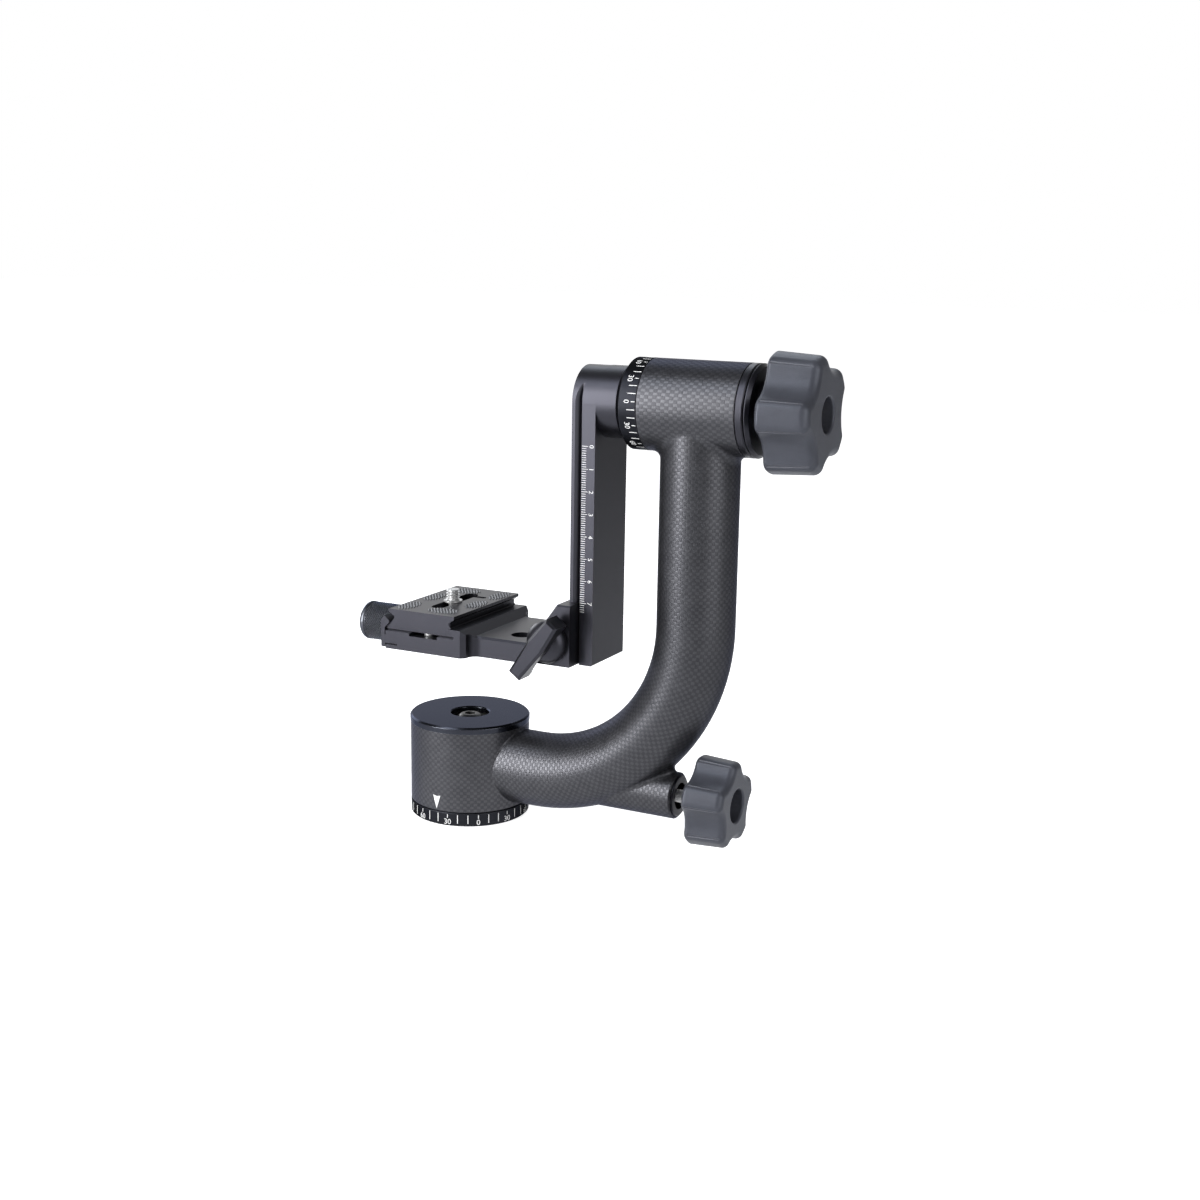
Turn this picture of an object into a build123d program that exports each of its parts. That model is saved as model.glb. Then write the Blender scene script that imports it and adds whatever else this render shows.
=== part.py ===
"""Gimbal tripod head: a carbon arm that pans on a tripod base and carries a tilting swing bar.

Millimetres, +Z up. The origin is on the pan axis, at the face that stands on the tripod.
The tilt axis lies along X, and +X points from the pan axis towards the arm.
"""
from build123d import *
from math import cos, pi, radians, sin, sqrt
import os

# ---- clearances ------------------------------------------------------------------------------
RUN = 0.05           # running fit, on the radius
SLIDE = 0.15         # flat faces that slide on each other
SEAM = 0.3           # gap between pieces that turn past each other
EDGE = 0.5           # broken edge of a machined piece

# ---- the two axes ----------------------------------------------------------------------------
TILT_Z = 200.2       # height of the tilt axis
RUN_Z = 25.5         # height of the arm's lower run
LOCK_Z = 24.3        # height of the pan lock
UPRIGHT_X = 116.0    # the arm's upright run, out from the pan axis

# ---- carbon arm ------------------------------------------------------------------------------
TUBE_R = 17.5
BEND_R = 78.0
WALL = 2.6
BASE_R = 28.25       # round body on the pan axis
BASE_TOP = 44.8
HOUSING_R = 20.1     # round body on the tilt axis
HOUSING_X0, HOUSING_X1 = 93.9, 138.7
BOSS_R = 10.6        # boss of the pan lock
BOSS_REACH = 5.56    # from where the boss leaves the bend to its end
BASE_BLEND, HOUSING_BLEND, BOSS_BLEND, BOSS_ROUND = 1.0, 4.0, 2.0, 0.8

# ---- pan base, spindle and bearings ----------------------------------------------------------
DIAL_H = 6.6
FLANGE_R, FLANGE_T = 16.0, 2.6
SHOULDER_R, SHOULDER_H = 14.4, 2.4
PAN_BRG_BORE_R, PAN_BRG_R, PAN_BRG_W = 12.5, 18.5, 7.0
PAN_BRG_PITCH = 26.6           # lower bearing to upper bearing
TILT_BRG_BORE_R, TILT_BRG_W, TILT_LINER_T = 10.0, 7.0, 1.5
BRG_LIP = 2.5                  # shoulder that a bearing's outer ring rests on
SHIELD_IN = 0.6                # how far a bearing's shield lies below its rings
TRIPOD_R = 3.97                # 3/8-16 UNC, minor radius
INSERT_R, INSERT_L = 6.5, 12.0
BASE_SCREW_R, BASE_SCREW_RING_R, BASE_SCREWS = 2.0, 11.0, 4
BASE_SCREW_L = 8.0
BOLT_R, BOLT_HEAD_R, BOLT_HEAD_H, BOLT_L = 4.0, 6.2, 3.3, 15.0
WASHER_T, WASHER_LAP = 1.4, 1.6      # preload washer, and its lap on the bearing

# ---- cap -------------------------------------------------------------------------------------
CAP_PROUD, CAP_T, CAP_HOLE_R = 0.25, 3.2, 9.1     # past the arm's round body
CAP_WEB, CAP_BEVEL = 2.3, 0.8
CAP_SPIGOT_H, CAP_BORE_R = 1.6, 17.0

# ---- pan lock --------------------------------------------------------------------------------
PAD_R, PAD_BACK = 4.9, 7.15          # from the pad's back to the liner's outside
ROD_R, ROD_ENGAGE = 4.0, 9.0         # the rod's guide in the plug
PLUG_R, PLUG_L, PLUG_RIM_R, PLUG_RIM_T = 7.8, 22.0, 9.2, 0.7
PLUG_MOUTH_R, PLUG_MOUTH_D = 6.1, 4.5
PLUG_BORE_L = 32.0             # the boss's bore, through to the arm's hollow
STUD_R = 3.0
PAN_KNOB_GAP, PAN_KNOB_L, PAN_KNOB_R = 9.3, 19.2, 20.6
PAN_KNOB_PHASE = 15.0
PAN_UNSCREW = 2.0              # how far the knob backs out

# ---- tilt spindle, dial and rings ------------------------------------------------------------
BAR_X0, BAR_X1 = 61.3, 72.8
SPACER_R, SPACER_T = 16.0, 10.0
DIAL_CONE, DIAL_CONE_R = 2.9, 3.3    # length and depth of the dial's cone
HUB_R, HUB_T = 13.5, 6.0             # spindle flange
TAIL_R, TAIL_L, TAIL_SINK = 6.0, 22.0, 1.0     # threaded tail, M12
LINING_IN, LINING_T, LINING_SINK = 0.7, 1.2, 0.6     # friction lining in the dial's back
BRG_INSET = 1.6                # from the housing's ends to the bearings
RING_T, RING_BORE_R = 3.6, 11.0
COLLAR_T, COLLAR_CHAMFER = 2.2, 1.4
COLLAR_NECK_R, COLLAR_NECK_L = 13.0, 4.6
TILT_KNOB_L, TILT_KNOB_R = 23.1, 26.3
TILT_KNOB_PHASE = 35.0
BAR_SCREW_R, BAR_SCREW_HEAD_R, BAR_SCREW_HEAD_H = 2.5, 4.25, 5.0
BAR_SCREW_RING_R, BAR_SCREWS, BAR_SCREW_L = 9.2, 4, 11.0

# ---- star knobs ------------------------------------------------------------------------------
LOBES = 5
CREST_DEG = 14.5               # half width of a lobe's crest
VALLEY_SHARE = 0.80            # shares of the crest radius: valleys,
ROUND_SHARE = 0.215            # rounding between a crest and its valleys,
LINE_SHARE = 0.968             # mould lines along the crest's edges,
NOSE_SHARE = 0.155             # rounding of the front rim
KNOB_DRAFT = 3.2               # degrees, narrower towards the front
KNOB_RIM = 1.8                 # rounding of the rear rim
MOULD_LINE_R = 0.5             # half width of a mould line
KNOB_HOLE_R, KNOB_HOLE_SHARE, KNOB_HOLE_ROUND = 7.6, 0.4, 1.0
KNOB_SKIRT, KNOB_BACK_D = 3.2, 6.0
TILT_KNOB_HUB_R, PAN_KNOB_HUB_R = 11.5, 8.0
NUT_R = 8.6                    # brass nut of the tilt knob

# ---- swing bar -------------------------------------------------------------------------------
BAR_HW = 15.84
BAR_Z0 = 83.2
LIP_T, DOVE_DEPTH, GROOVE_W = 1.6, 2.6, 0.8
STOP_R, STOP_H, STOP_L, STOP_RISE = 2.2, 1.4, 6.0, 5.5   # stop screw near the bar's foot

# ---- platform --------------------------------------------------------------------------------
PLAT_Z0, NECK_T, NECK_HW = 82.5, 9.5, 23.5
BRKT_X1, BRKT_TOP, BRKT_TOP_W, BRKT_FOOT_W = 65.4, 111.4, 6.6, 20.8
CLAMP_HW, CLAMP_X0, CLAMP_X1 = 31.0, -27.0, 15.3
CLAMP_CORNER = 2.0             # bevel of the clamp's corners
CLAMP_FLOOR, LIP_TOP, LIP_REACH = 91.0, 95.4, 2.5
LIP_TOP_X, LIP_SLOPE_X = 12.9, 17.1              # the lip's top, and the foot of its slope
NECK_BLEND, NECK_BEVEL = 4.5, 1.0
NECK_HOLE_X, NECK_HOLE_Y, NECK_HOLE_R = 34.0, -10.5, 4.9
RELIEF_X, RELIEF_W, RELIEF_D = -6.5, 15.0, 1.3

# ---- quick plate -----------------------------------------------------------------------------
PLATE_X, PLATE_Y, PLATE_HL = -9.4, 2.0, 29.8
DECK_HW, DECK_T, DECK_TOP = 17.6, 1.4, 100.7
DOVE_HW, DOVE_EDGE, WAIST_HW = 19.2, 0.7, 15.6
UNDERCUT_H = 1.4
PAD_PROUD, PAD_SINK = 0.4, 0.6
GRIP_PADS = ((-12.7, -19.8, 4.1, 8.2), (-12.9, 2.2, 3.8, 8.2), (6.6, -21.6, 7.4, 4.8))
SLOT_R, SLOT_HL = 3.4, 14.6
POCKET_HW, POCKET_HL, POCKET_D = 7.4, 20.0, 4.6
CROSS_X, CROSS_Y, CROSS_L, CROSS_W = 5.0, 12.6, 9.0, 3.0
CAM_R, CAM_PROUD, CAM_NECK_R = 3.175, 6.2, 2.3       # 1/4-20 UNC
CAM_HEAD_R, CAM_HEAD_H = 6.6, 3.4
CAM_WASHER_R, CAM_WASHER_T = 4.4, 0.7
PIN_R, PIN_L = 1.4, 6.0                # stop pin in the clamp's relief
STOP_SCREW_R, STOP_SCREW_H, STOP_SCREW_Y, STOP_SCREW_L = 2.1, 1.0, 27.1, 5.0

# ---- movable jaw and clamp knob --------------------------------------------------------------
JAW_T, JAW_HL = 2.0, 29.0
JAW_CREST, JAW_SHOULDER = 97.4, 95.2
TONGUE_L, TONGUE_H, CLAMP_AXIS_Z = 8.0, 4.0, 86.4
CLAMP_STUD_R, CLAMP_STUD_X1 = 2.5, -10.0
CKNOB_R, CKNOB_X0, CKNOB_L = 9.3, -57.8, 21.0
CKNOB_NECK_R, CKNOB_EDGE = 6.0, 2.0
SPRING_R, SPRING_WIRE, SPRING_Y, SPRING_L, SPRING_TURNS = 1.9, 0.35, 16.0, 6.0, 4

# ---- rail jaw and wing lever -----------------------------------------------------------------
RJAW_CLEAR, RJAW_X0, RJAW_Z0, RJAW_GAP, RJAW_BEVEL = 0.26, 47.4, 83.4, 0.3, 0.7
LEVER_X, LEVER_Z = 54.8, 94.3
LEVER_HUB_R, LEVER_HUB_H, LEVER_DOME_R = 9.6, 6.5, 7.6
WING_LONG, WING_SHORT, WING_W, WING_TIP_W, WING_TURN = 18.0, 14.0, 8.8, 6.4, 53.7
WING_GAP, WING_T, WING_WEB, WING_BEVEL = 3.2, 10.0, 5.0, 1.2
LEVER_STUD_R, LEVER_STUD_L, LEVER_STUD_HEAD = 3.0, 22.0, 5.0
GUIDE_R, GUIDE_L, GUIDE_COVER = 1.5, 11.0, 2.4       # metal left in front of the pins
GUIDE_X, GUIDE_Z = 58.3, (87.0, 107.0)

# ---- worked-out places -----------------------------------------------------------------------
ARM_Z0 = DIAL_H + SEAM
BORE_R = BASE_R - WALL                        # inside of the arm's round body
HOUSING_BORE_R = HOUSING_R - WALL
TILT_BRG_R = HOUSING_BORE_R - TILT_LINER_T
LINING_R = HOUSING_BORE_R - LINING_IN
BOSS_X1 = BOSS_REACH + UPRIGHT_X - BEND_R + sqrt(
    (BEND_R + TUBE_R) ** 2 - (RUN_Z + BEND_R - LOCK_Z - BOSS_R) ** 2)
PAN_KNOB_X0 = BOSS_X1 + PAN_KNOB_GAP
CAP_R = BASE_R + CAP_PROUD
PAD_L = BORE_R - PAN_BRG_BORE_R - PAD_BACK
PAN_BRG_Z = DIAL_H + SHOULDER_H               # underside of the lower bearing
SPINDLE_TOP = PAN_BRG_Z + PAN_BRG_PITCH + PAN_BRG_W
CAP_SEAT = BASE_TOP - CAP_SPIGOT_H            # top of the liner, where the cap's spigot sits
DIAL_X0 = BAR_X1 + SPACER_T                   # the dial's face on the spacer
DIAL_X1 = HOUSING_X0 - SEAM
TILT_BRG_X = HOUSING_X0 + BRG_INSET
TILT_BRG_PITCH = HOUSING_X1 - HOUSING_X0 - 2 * BRG_INSET - TILT_BRG_W
RING_X1 = HOUSING_X1 + RING_T
COLLAR_X = RING_X1 + SEAM
KNOB_X0 = COLLAR_X + COLLAR_T + COLLAR_NECK_L + SEAM
TAIL_X0 = RING_X1 - TAIL_SINK
NECK_TOP = PLAT_Z0 + NECK_T
JAW_X1 = PLATE_X - DOVE_HW - SLIDE            # the jaw's face along the plate's edge
PLATE_Z0 = CLAMP_FLOOR + SLIDE
RJAW_Y1 = -BAR_HW - RJAW_CLEAR                # the rail jaw's inner face
RJAW_T = NECK_HW + RJAW_Y1
GUIDE_ENGAGE = RJAW_T - GUIDE_COVER
LEVER_STUD_Y1 = -NECK_HW - SEAM - LEVER_STUD_HEAD + LEVER_STUD_L     # inner end of the lever's stud


# ---- helpers ---------------------------------------------------------------------------------
def outline(*points):
    """A closed face through the given points, in a sketch's own axes."""
    with BuildSketch() as face:
        with BuildLine():
            Polyline(*points, close=True)
        make_face()
    return face.sketch


def turned(axis_z, *points):
    """A solid turned about a line along X at height axis_z, from (x, radius) points."""
    with BuildPart() as body:
        with BuildSketch(Plane.XZ):
            add(outline(*[(x, axis_z + r) for x, r in points]))
        revolve(axis=Axis((0, 0, axis_z), (1, 0, 0)))
    return body.part


def across(x, z=TILT_Z):
    """A plane square to X, with its own x along +Y and its own y along +Z."""
    return Plane(origin=(x, 0, z), x_dir=(0, 1, 0), z_dir=(1, 0, 0))


def bearing(r0, r1, width):
    """A sealed ball bearing standing on z = 0: two rings with the shields set back."""
    ring = (r1 - r0) * 0.3
    with BuildPart() as body:
        with BuildSketch(Plane.XZ):
            add(outline((r0, 0), (r0 + ring, 0), (r0 + ring, SHIELD_IN), (r1 - ring, SHIELD_IN),
                        (r1 - ring, 0), (r1, 0), (r1, width), (r1 - ring, width),
                        (r1 - ring, width - SHIELD_IN), (r0 + ring, width - SHIELD_IN),
                        (r0 + ring, width), (r0, width)))
        revolve(axis=Axis.Z)
    return body.part


def star_section(crest_r, phase):
    """Five broad crests with a round valley between each pair, the first crest at phase."""
    half, pitch = radians(CREST_DEG), 2 * pi / LOBES
    valley_r = crest_r * VALLEY_SHARE

    def at(r, a):
        return (r * cos(a), r * sin(a))

    with BuildSketch() as star:
        with BuildLine():
            for i in range(LOBES):
                a = radians(phase) + i * pitch
                ThreePointArc(at(crest_r, a - half), at(crest_r, a), at(crest_r, a + half))
                ThreePointArc(at(crest_r, a + half), at(valley_r, a + pitch / 2),
                              at(crest_r, a + pitch - half))
        make_face()
        fillet(star.vertices(), crest_r * ROUND_SHARE)
    return star.sketch


def mould_line(x0, length, line_r, degrees, axis_z):
    """A thin rod that follows the drafted side of a star knob."""
    a, draft = radians(degrees), radians(KNOB_DRAFT)
    start = (x0, line_r * cos(a), axis_z + line_r * sin(a))
    along = (cos(draft), -sin(draft) * cos(a), -sin(draft) * sin(a))
    with BuildPart() as rod:
        with BuildSketch(Plane(origin=start, z_dir=along)):
            Circle(MOULD_LINE_R)
        extrude(amount=length)
    return rod.part


def star_knob(x0, length, crest_r, phase, axis_z, hub_r, bore_r):
    """A moulded star knob on a line along X, hollow behind and with a round hole in front."""
    hole, nose = length * KNOB_HOLE_SHARE, crest_r * NOSE_SHARE
    back_r = crest_r * VALLEY_SHARE - KNOB_SKIRT
    with BuildPart() as knob:
        with BuildSketch(across(x0, axis_z)):
            add(star_section(crest_r, phase))
        extrude(amount=length, taper=KNOB_DRAFT)
        ends = knob.faces().filter_by(Axis.X).sort_by(Axis.X)
        fillet(ends[-1].edges(), nose)
        fillet(knob.faces().filter_by(Axis.X).sort_by(Axis.X)[0].edges(), KNOB_RIM)
        for crest in range(LOBES):
            for side in (-1, 1):
                turn = phase + crest * 360 / LOBES + side * CREST_DEG
                add(mould_line(x0 + KNOB_RIM, length - KNOB_RIM - nose / 2, crest_r * LINE_SHARE,
                               turn, axis_z), mode=Mode.SUBTRACT)
        with BuildSketch(across(x0, axis_z)):
            Circle(back_r)
            Circle(hub_r, mode=Mode.SUBTRACT)
        extrude(amount=KNOB_BACK_D, mode=Mode.SUBTRACT)
        with BuildSketch(across(x0 + length, axis_z)):
            Circle(KNOB_HOLE_R)
        extrude(amount=-hole, mode=Mode.SUBTRACT)
        front = knob.faces().filter_by(Axis.X).sort_by(Axis.X)[-1]
        fillet(front.edges().sort_by(SortBy.LENGTH).filter_by(GeomType.CIRCLE)
               .filter_by(lambda e: abs(e.radius - KNOB_HOLE_R) < 0.01), KNOB_HOLE_ROUND)
        with BuildSketch(across(x0, axis_z)):
            Circle(bore_r)
        extrude(amount=length - hole, mode=Mode.SUBTRACT)
    return knob.part


def save(part, name):
    part.label = name
    export_step(part, f"parts/{name}.step")
    print(f"{name:24s} {len(part.solids())} solid(s) {part.volume:10.1f} mm3")


os.makedirs("parts", exist_ok=True)

# ==== pan base: everything that stays on the tripod ===========================================
with BuildPart() as pan_base:
    Cylinder(BASE_R, DIAL_H, align=(Align.CENTER, Align.CENTER, Align.MIN))
    chamfer(pan_base.edges().filter_by(GeomType.CIRCLE), EDGE)
    with BuildSketch(Plane.XY.offset(DIAL_H)):
        Circle(FLANGE_R)
    extrude(amount=-FLANGE_T, mode=Mode.SUBTRACT)
    with BuildSketch(Plane.XY):
        Circle(INSERT_R)
        with PolarLocations(BASE_SCREW_RING_R, BASE_SCREWS, start_angle=45):
            Circle(BASE_SCREW_R)
    extrude(amount=DIAL_H, mode=Mode.SUBTRACT)
    with BuildSketch(Plane.XY):
        with PolarLocations(BASE_SCREW_RING_R, BASE_SCREWS, start_angle=45):
            Circle(2 * BASE_SCREW_R)
    extrude(amount=BASE_SCREW_R, taper=45, mode=Mode.SUBTRACT)
save(pan_base.part, "pan_base")

with BuildPart() as pan_spindle:
    journal_r = PAN_BRG_BORE_R - RUN
    with BuildSketch(Plane.XZ):
        add(outline((0, DIAL_H - FLANGE_T), (FLANGE_R, DIAL_H - FLANGE_T), (FLANGE_R, DIAL_H),
                    (SHOULDER_R, DIAL_H), (SHOULDER_R, PAN_BRG_Z), (journal_r, PAN_BRG_Z),
                    (journal_r, SPINDLE_TOP - EDGE), (journal_r - EDGE, SPINDLE_TOP),
                    (0, SPINDLE_TOP)))
    revolve(axis=Axis.Z)
    with BuildSketch(Plane.XY):
        Circle(INSERT_R)
    extrude(amount=INSERT_L, mode=Mode.SUBTRACT)
    with BuildSketch(Plane.XY):
        with PolarLocations(BASE_SCREW_RING_R, BASE_SCREWS, start_angle=45):
            Circle(BASE_SCREW_R)
    extrude(amount=BASE_SCREW_L, mode=Mode.SUBTRACT)
    with BuildSketch(Plane.XY.offset(SPINDLE_TOP)):
        Circle(BOLT_R)
    extrude(amount=-BOLT_L, mode=Mode.SUBTRACT)
save(pan_spindle.part, "pan_spindle")

with BuildPart() as thread_insert:
    Cylinder(INSERT_R, INSERT_L, align=(Align.CENTER, Align.CENTER, Align.MIN))
    Hole(TRIPOD_R)
save(thread_insert.part, "thread_insert")

with BuildPart() as spindle_screws:
    with BuildSketch(Plane.XY):
        with PolarLocations(BASE_SCREW_RING_R, BASE_SCREWS, start_angle=45):
            Circle(2 * BASE_SCREW_R)
    extrude(amount=BASE_SCREW_R, taper=45)
    with BuildSketch(Plane.XY):
        with PolarLocations(BASE_SCREW_RING_R, BASE_SCREWS, start_angle=45):
            Circle(BASE_SCREW_R)
    extrude(amount=BASE_SCREW_L)
    with BuildSketch(Plane.XY):
        with PolarLocations(BASE_SCREW_RING_R, BASE_SCREWS, start_angle=45):
            RegularPolygon(BASE_SCREW_R * 0.6, 6)
    extrude(amount=BASE_SCREW_R * 0.7, mode=Mode.SUBTRACT)
save(spindle_screws.part, "spindle_screws")

washer_r = PAN_BRG_BORE_R + WASHER_LAP
with BuildPart() as preload_washer:
    with BuildSketch(Plane.XY.offset(SPINDLE_TOP)):
        Circle(washer_r)
        Circle(BOLT_R + RUN, mode=Mode.SUBTRACT)
    extrude(amount=WASHER_T)
save(preload_washer.part, "preload_washer")

with BuildPart() as retaining_bolt:
    head_z = SPINDLE_TOP + WASHER_T
    with BuildSketch(Plane.XZ):
        with BuildLine():
            Polyline((0, head_z - BOLT_L), (BOLT_R, head_z - BOLT_L), (BOLT_R, head_z),
                     (BOLT_HEAD_R, head_z), (BOLT_HEAD_R, head_z + BOLT_HEAD_H * 0.25))
            ThreePointArc((BOLT_HEAD_R, head_z + BOLT_HEAD_H * 0.25),
                          (BOLT_HEAD_R * 0.84, head_z + BOLT_HEAD_H * 0.75),
                          (BOLT_HEAD_R * 0.55, head_z + BOLT_HEAD_H))
            Polyline((BOLT_HEAD_R * 0.55, head_z + BOLT_HEAD_H), (0, head_z + BOLT_HEAD_H),
                     (0, head_z - BOLT_L))
        make_face()
    revolve(axis=Axis.Z)
    with BuildSketch(Plane.XY.offset(head_z + BOLT_HEAD_H)):
        RegularPolygon(BOLT_HEAD_R * 0.45, 6)
    extrude(amount=-BOLT_HEAD_H * 0.7, mode=Mode.SUBTRACT)
save(retaining_bolt.part, "retaining_bolt")

# ==== arm: the moulded carbon shell and what is bonded into it ================================
with BuildPart() as arm_shell:
    with BuildSketch(Plane.XY.offset(ARM_Z0)):
        Circle(BASE_R)
    extrude(amount=BASE_TOP - ARM_Z0)
    with BuildLine(Plane.XZ) as arm_line:
        Line((0, RUN_Z), (UPRIGHT_X - BEND_R, RUN_Z))
        JernArc((UPRIGHT_X - BEND_R, RUN_Z), (1, 0), BEND_R, 90)
        Line((UPRIGHT_X, RUN_Z + BEND_R), (UPRIGHT_X, TILT_Z))
    with BuildSketch(across(0, RUN_Z)):
        Circle(TUBE_R)
    sweep()
    fillet(arm_shell.edges(Select.LAST).filter_by(GeomType.BSPLINE), BASE_BLEND)
    with BuildSketch(across(HOUSING_X0)):
        Circle(HOUSING_R)
    extrude(amount=HOUSING_X1 - HOUSING_X0)
    fillet(arm_shell.edges(Select.LAST).filter_by(GeomType.BSPLINE), HOUSING_BLEND)
    add(turned(LOCK_Z, (UPRIGHT_X - BEND_R, 0), (UPRIGHT_X - BEND_R, BOSS_R),
               (BOSS_X1 - BOSS_ROUND, BOSS_R), (BOSS_X1, BOSS_R - BOSS_ROUND), (BOSS_X1, 0)))
    fillet(arm_shell.edges(Select.LAST).filter_by(GeomType.BSPLINE), BOSS_BLEND)
    with BuildSketch(across(0, RUN_Z)):
        Circle(TUBE_R - WALL)
    sweep(path=arm_line.wires()[0], mode=Mode.SUBTRACT)
    with BuildSketch(Plane.XY.offset(ARM_Z0)):
        Circle(BORE_R)
    extrude(amount=BASE_TOP - ARM_Z0, mode=Mode.SUBTRACT)
    with BuildSketch(across(HOUSING_X0)):
        Circle(HOUSING_BORE_R)
    extrude(amount=HOUSING_X1 - HOUSING_X0, mode=Mode.SUBTRACT)
    with BuildSketch(across(BOSS_X1, LOCK_Z)):
        Circle(PLUG_R)
    extrude(amount=-PLUG_BORE_L, mode=Mode.SUBTRACT)
save(arm_shell.part, "arm_shell")

with BuildPart() as pan_liner:
    seat_r = PAN_BRG_R
    with BuildSketch(Plane.XZ):
        add(outline((seat_r, ARM_Z0 + SEAM), (BORE_R, ARM_Z0 + SEAM), (BORE_R, CAP_SEAT),
                    (seat_r, CAP_SEAT), (seat_r, PAN_BRG_Z + PAN_BRG_PITCH),
                    (seat_r - BRG_LIP, PAN_BRG_Z + PAN_BRG_PITCH),
                    (seat_r - BRG_LIP, PAN_BRG_Z + PAN_BRG_W), (seat_r, PAN_BRG_Z + PAN_BRG_W)))
    revolve(axis=Axis.Z)
    with BuildSketch(across(0, LOCK_Z)):
        Circle(PAD_R + RUN)
    extrude(amount=BORE_R + EDGE, mode=Mode.SUBTRACT)
save(pan_liner.part, "pan_liner")

for name, z in (("pan_bearing_lower", PAN_BRG_Z), ("pan_bearing_upper", PAN_BRG_Z + PAN_BRG_PITCH)):
    with BuildPart() as pan_bearing:
        add(bearing(PAN_BRG_BORE_R, PAN_BRG_R, PAN_BRG_W).moved(Location((0, 0, z))))
    save(pan_bearing.part, name)

with BuildPart() as top_cap:
    cap_top, web_z = BASE_TOP + CAP_T, BASE_TOP + CAP_T - CAP_WEB
    with BuildSketch(Plane.XZ):
        add(outline((CAP_HOLE_R, web_z), (CAP_BORE_R, web_z), (CAP_BORE_R, CAP_SEAT),
                    (BORE_R, CAP_SEAT), (BORE_R, BASE_TOP), (CAP_R, BASE_TOP),
                    (CAP_R, cap_top - CAP_BEVEL), (CAP_R - CAP_BEVEL, cap_top),
                    (CAP_HOLE_R + EDGE, cap_top), (CAP_HOLE_R, cap_top - EDGE)))
    revolve(axis=Axis.Z)
save(top_cap.part, "top_cap")

with BuildPart() as tilt_liner:
    seat_r = TILT_BRG_R
    liner_x0 = DIAL_X1 - LINING_SINK + LINING_T + SEAM
    far_x = TILT_BRG_X + TILT_BRG_PITCH
    add(turned(TILT_Z, (liner_x0, seat_r), (liner_x0, HOUSING_BORE_R), (HOUSING_X1, HOUSING_BORE_R),
               (HOUSING_X1, seat_r), (far_x, seat_r), (far_x, seat_r - BRG_LIP),
               (TILT_BRG_X + TILT_BRG_W, seat_r - BRG_LIP), (TILT_BRG_X + TILT_BRG_W, seat_r)))
save(tilt_liner.part, "tilt_liner")

for name, x in (("tilt_bearing_inner", TILT_BRG_X), ("tilt_bearing_outer", TILT_BRG_X + TILT_BRG_PITCH)):
    with BuildPart() as tilt_bearing:
        add(across(x).location * bearing(TILT_BRG_BORE_R, TILT_BRG_R, TILT_BRG_W))
    save(tilt_bearing.part, name)

with BuildPart() as housing_ring:
    add(turned(TILT_Z, (HOUSING_X1, RING_BORE_R), (HOUSING_X1, HOUSING_R - EDGE),
               (HOUSING_X1 + EDGE, HOUSING_R), (RING_X1 - EDGE, HOUSING_R),
               (RING_X1, HOUSING_R - EDGE), (RING_X1, RING_BORE_R)))
save(housing_ring.part, "housing_ring")

plug_x1 = BOSS_X1 + PLUG_RIM_T
rod_x1 = BOSS_X1 - PLUG_L + ROD_ENGAGE
with BuildPart() as lock_plug:
    add(turned(LOCK_Z, (BOSS_X1 - PLUG_L, ROD_R + RUN), (BOSS_X1 - PLUG_L, PLUG_R), (BOSS_X1, PLUG_R),
               (BOSS_X1, PLUG_RIM_R), (plug_x1 - PLUG_RIM_T / 2, PLUG_RIM_R),
               (plug_x1, PLUG_RIM_R - PLUG_RIM_T / 2), (plug_x1, PLUG_MOUTH_R),
               (plug_x1 - PLUG_MOUTH_D, PLUG_MOUTH_R), (plug_x1 - PLUG_MOUTH_D, STUD_R + RUN),
               (rod_x1 + PAN_UNSCREW + SEAM, STUD_R + RUN),
               (rod_x1 + PAN_UNSCREW + SEAM, ROD_R + RUN)))
save(lock_plug.part, "lock_plug")

# ==== pan lock: pad and rod slide together, the knob's stud turns against the rod =============
pad_x0 = PAN_BRG_BORE_R - RUN + SEAM
with BuildPart() as brake_pad:
    with BuildSketch(across(0, LOCK_Z)):
        Circle(PAD_R)
    extrude(amount=pad_x0 + PAD_L)
    with BuildSketch(Plane.XY):
        Circle(pad_x0)
    extrude(amount=BASE_TOP, mode=Mode.SUBTRACT)
save(brake_pad.part, "brake_pad")

with BuildPart() as brake_rod:
    with BuildSketch(across(pad_x0 + PAD_L, LOCK_Z)):
        Circle(ROD_R)
    extrude(amount=rod_x1 - pad_x0 - PAD_L)
    chamfer(brake_rod.edges().filter_by(GeomType.CIRCLE).sort_by(Axis.X)[-1], EDGE)
save(brake_rod.part, "brake_rod")

with BuildPart() as pan_knob:
    add(star_knob(PAN_KNOB_X0, PAN_KNOB_L, PAN_KNOB_R, PAN_KNOB_PHASE, LOCK_Z,
                  PAN_KNOB_HUB_R, STUD_R))
save(pan_knob.part, "pan_knob")

with BuildPart() as pan_knob_stud:
    stud_x1 = PAN_KNOB_X0 + PAN_KNOB_L * (1 - KNOB_HOLE_SHARE)
    add(turned(LOCK_Z, (rod_x1, 0), (rod_x1, STUD_R - EDGE), (rod_x1 + EDGE, STUD_R),
               (stud_x1, STUD_R), (stud_x1, 0)))
save(pan_knob_stud.part, "pan_knob_stud")

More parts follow.
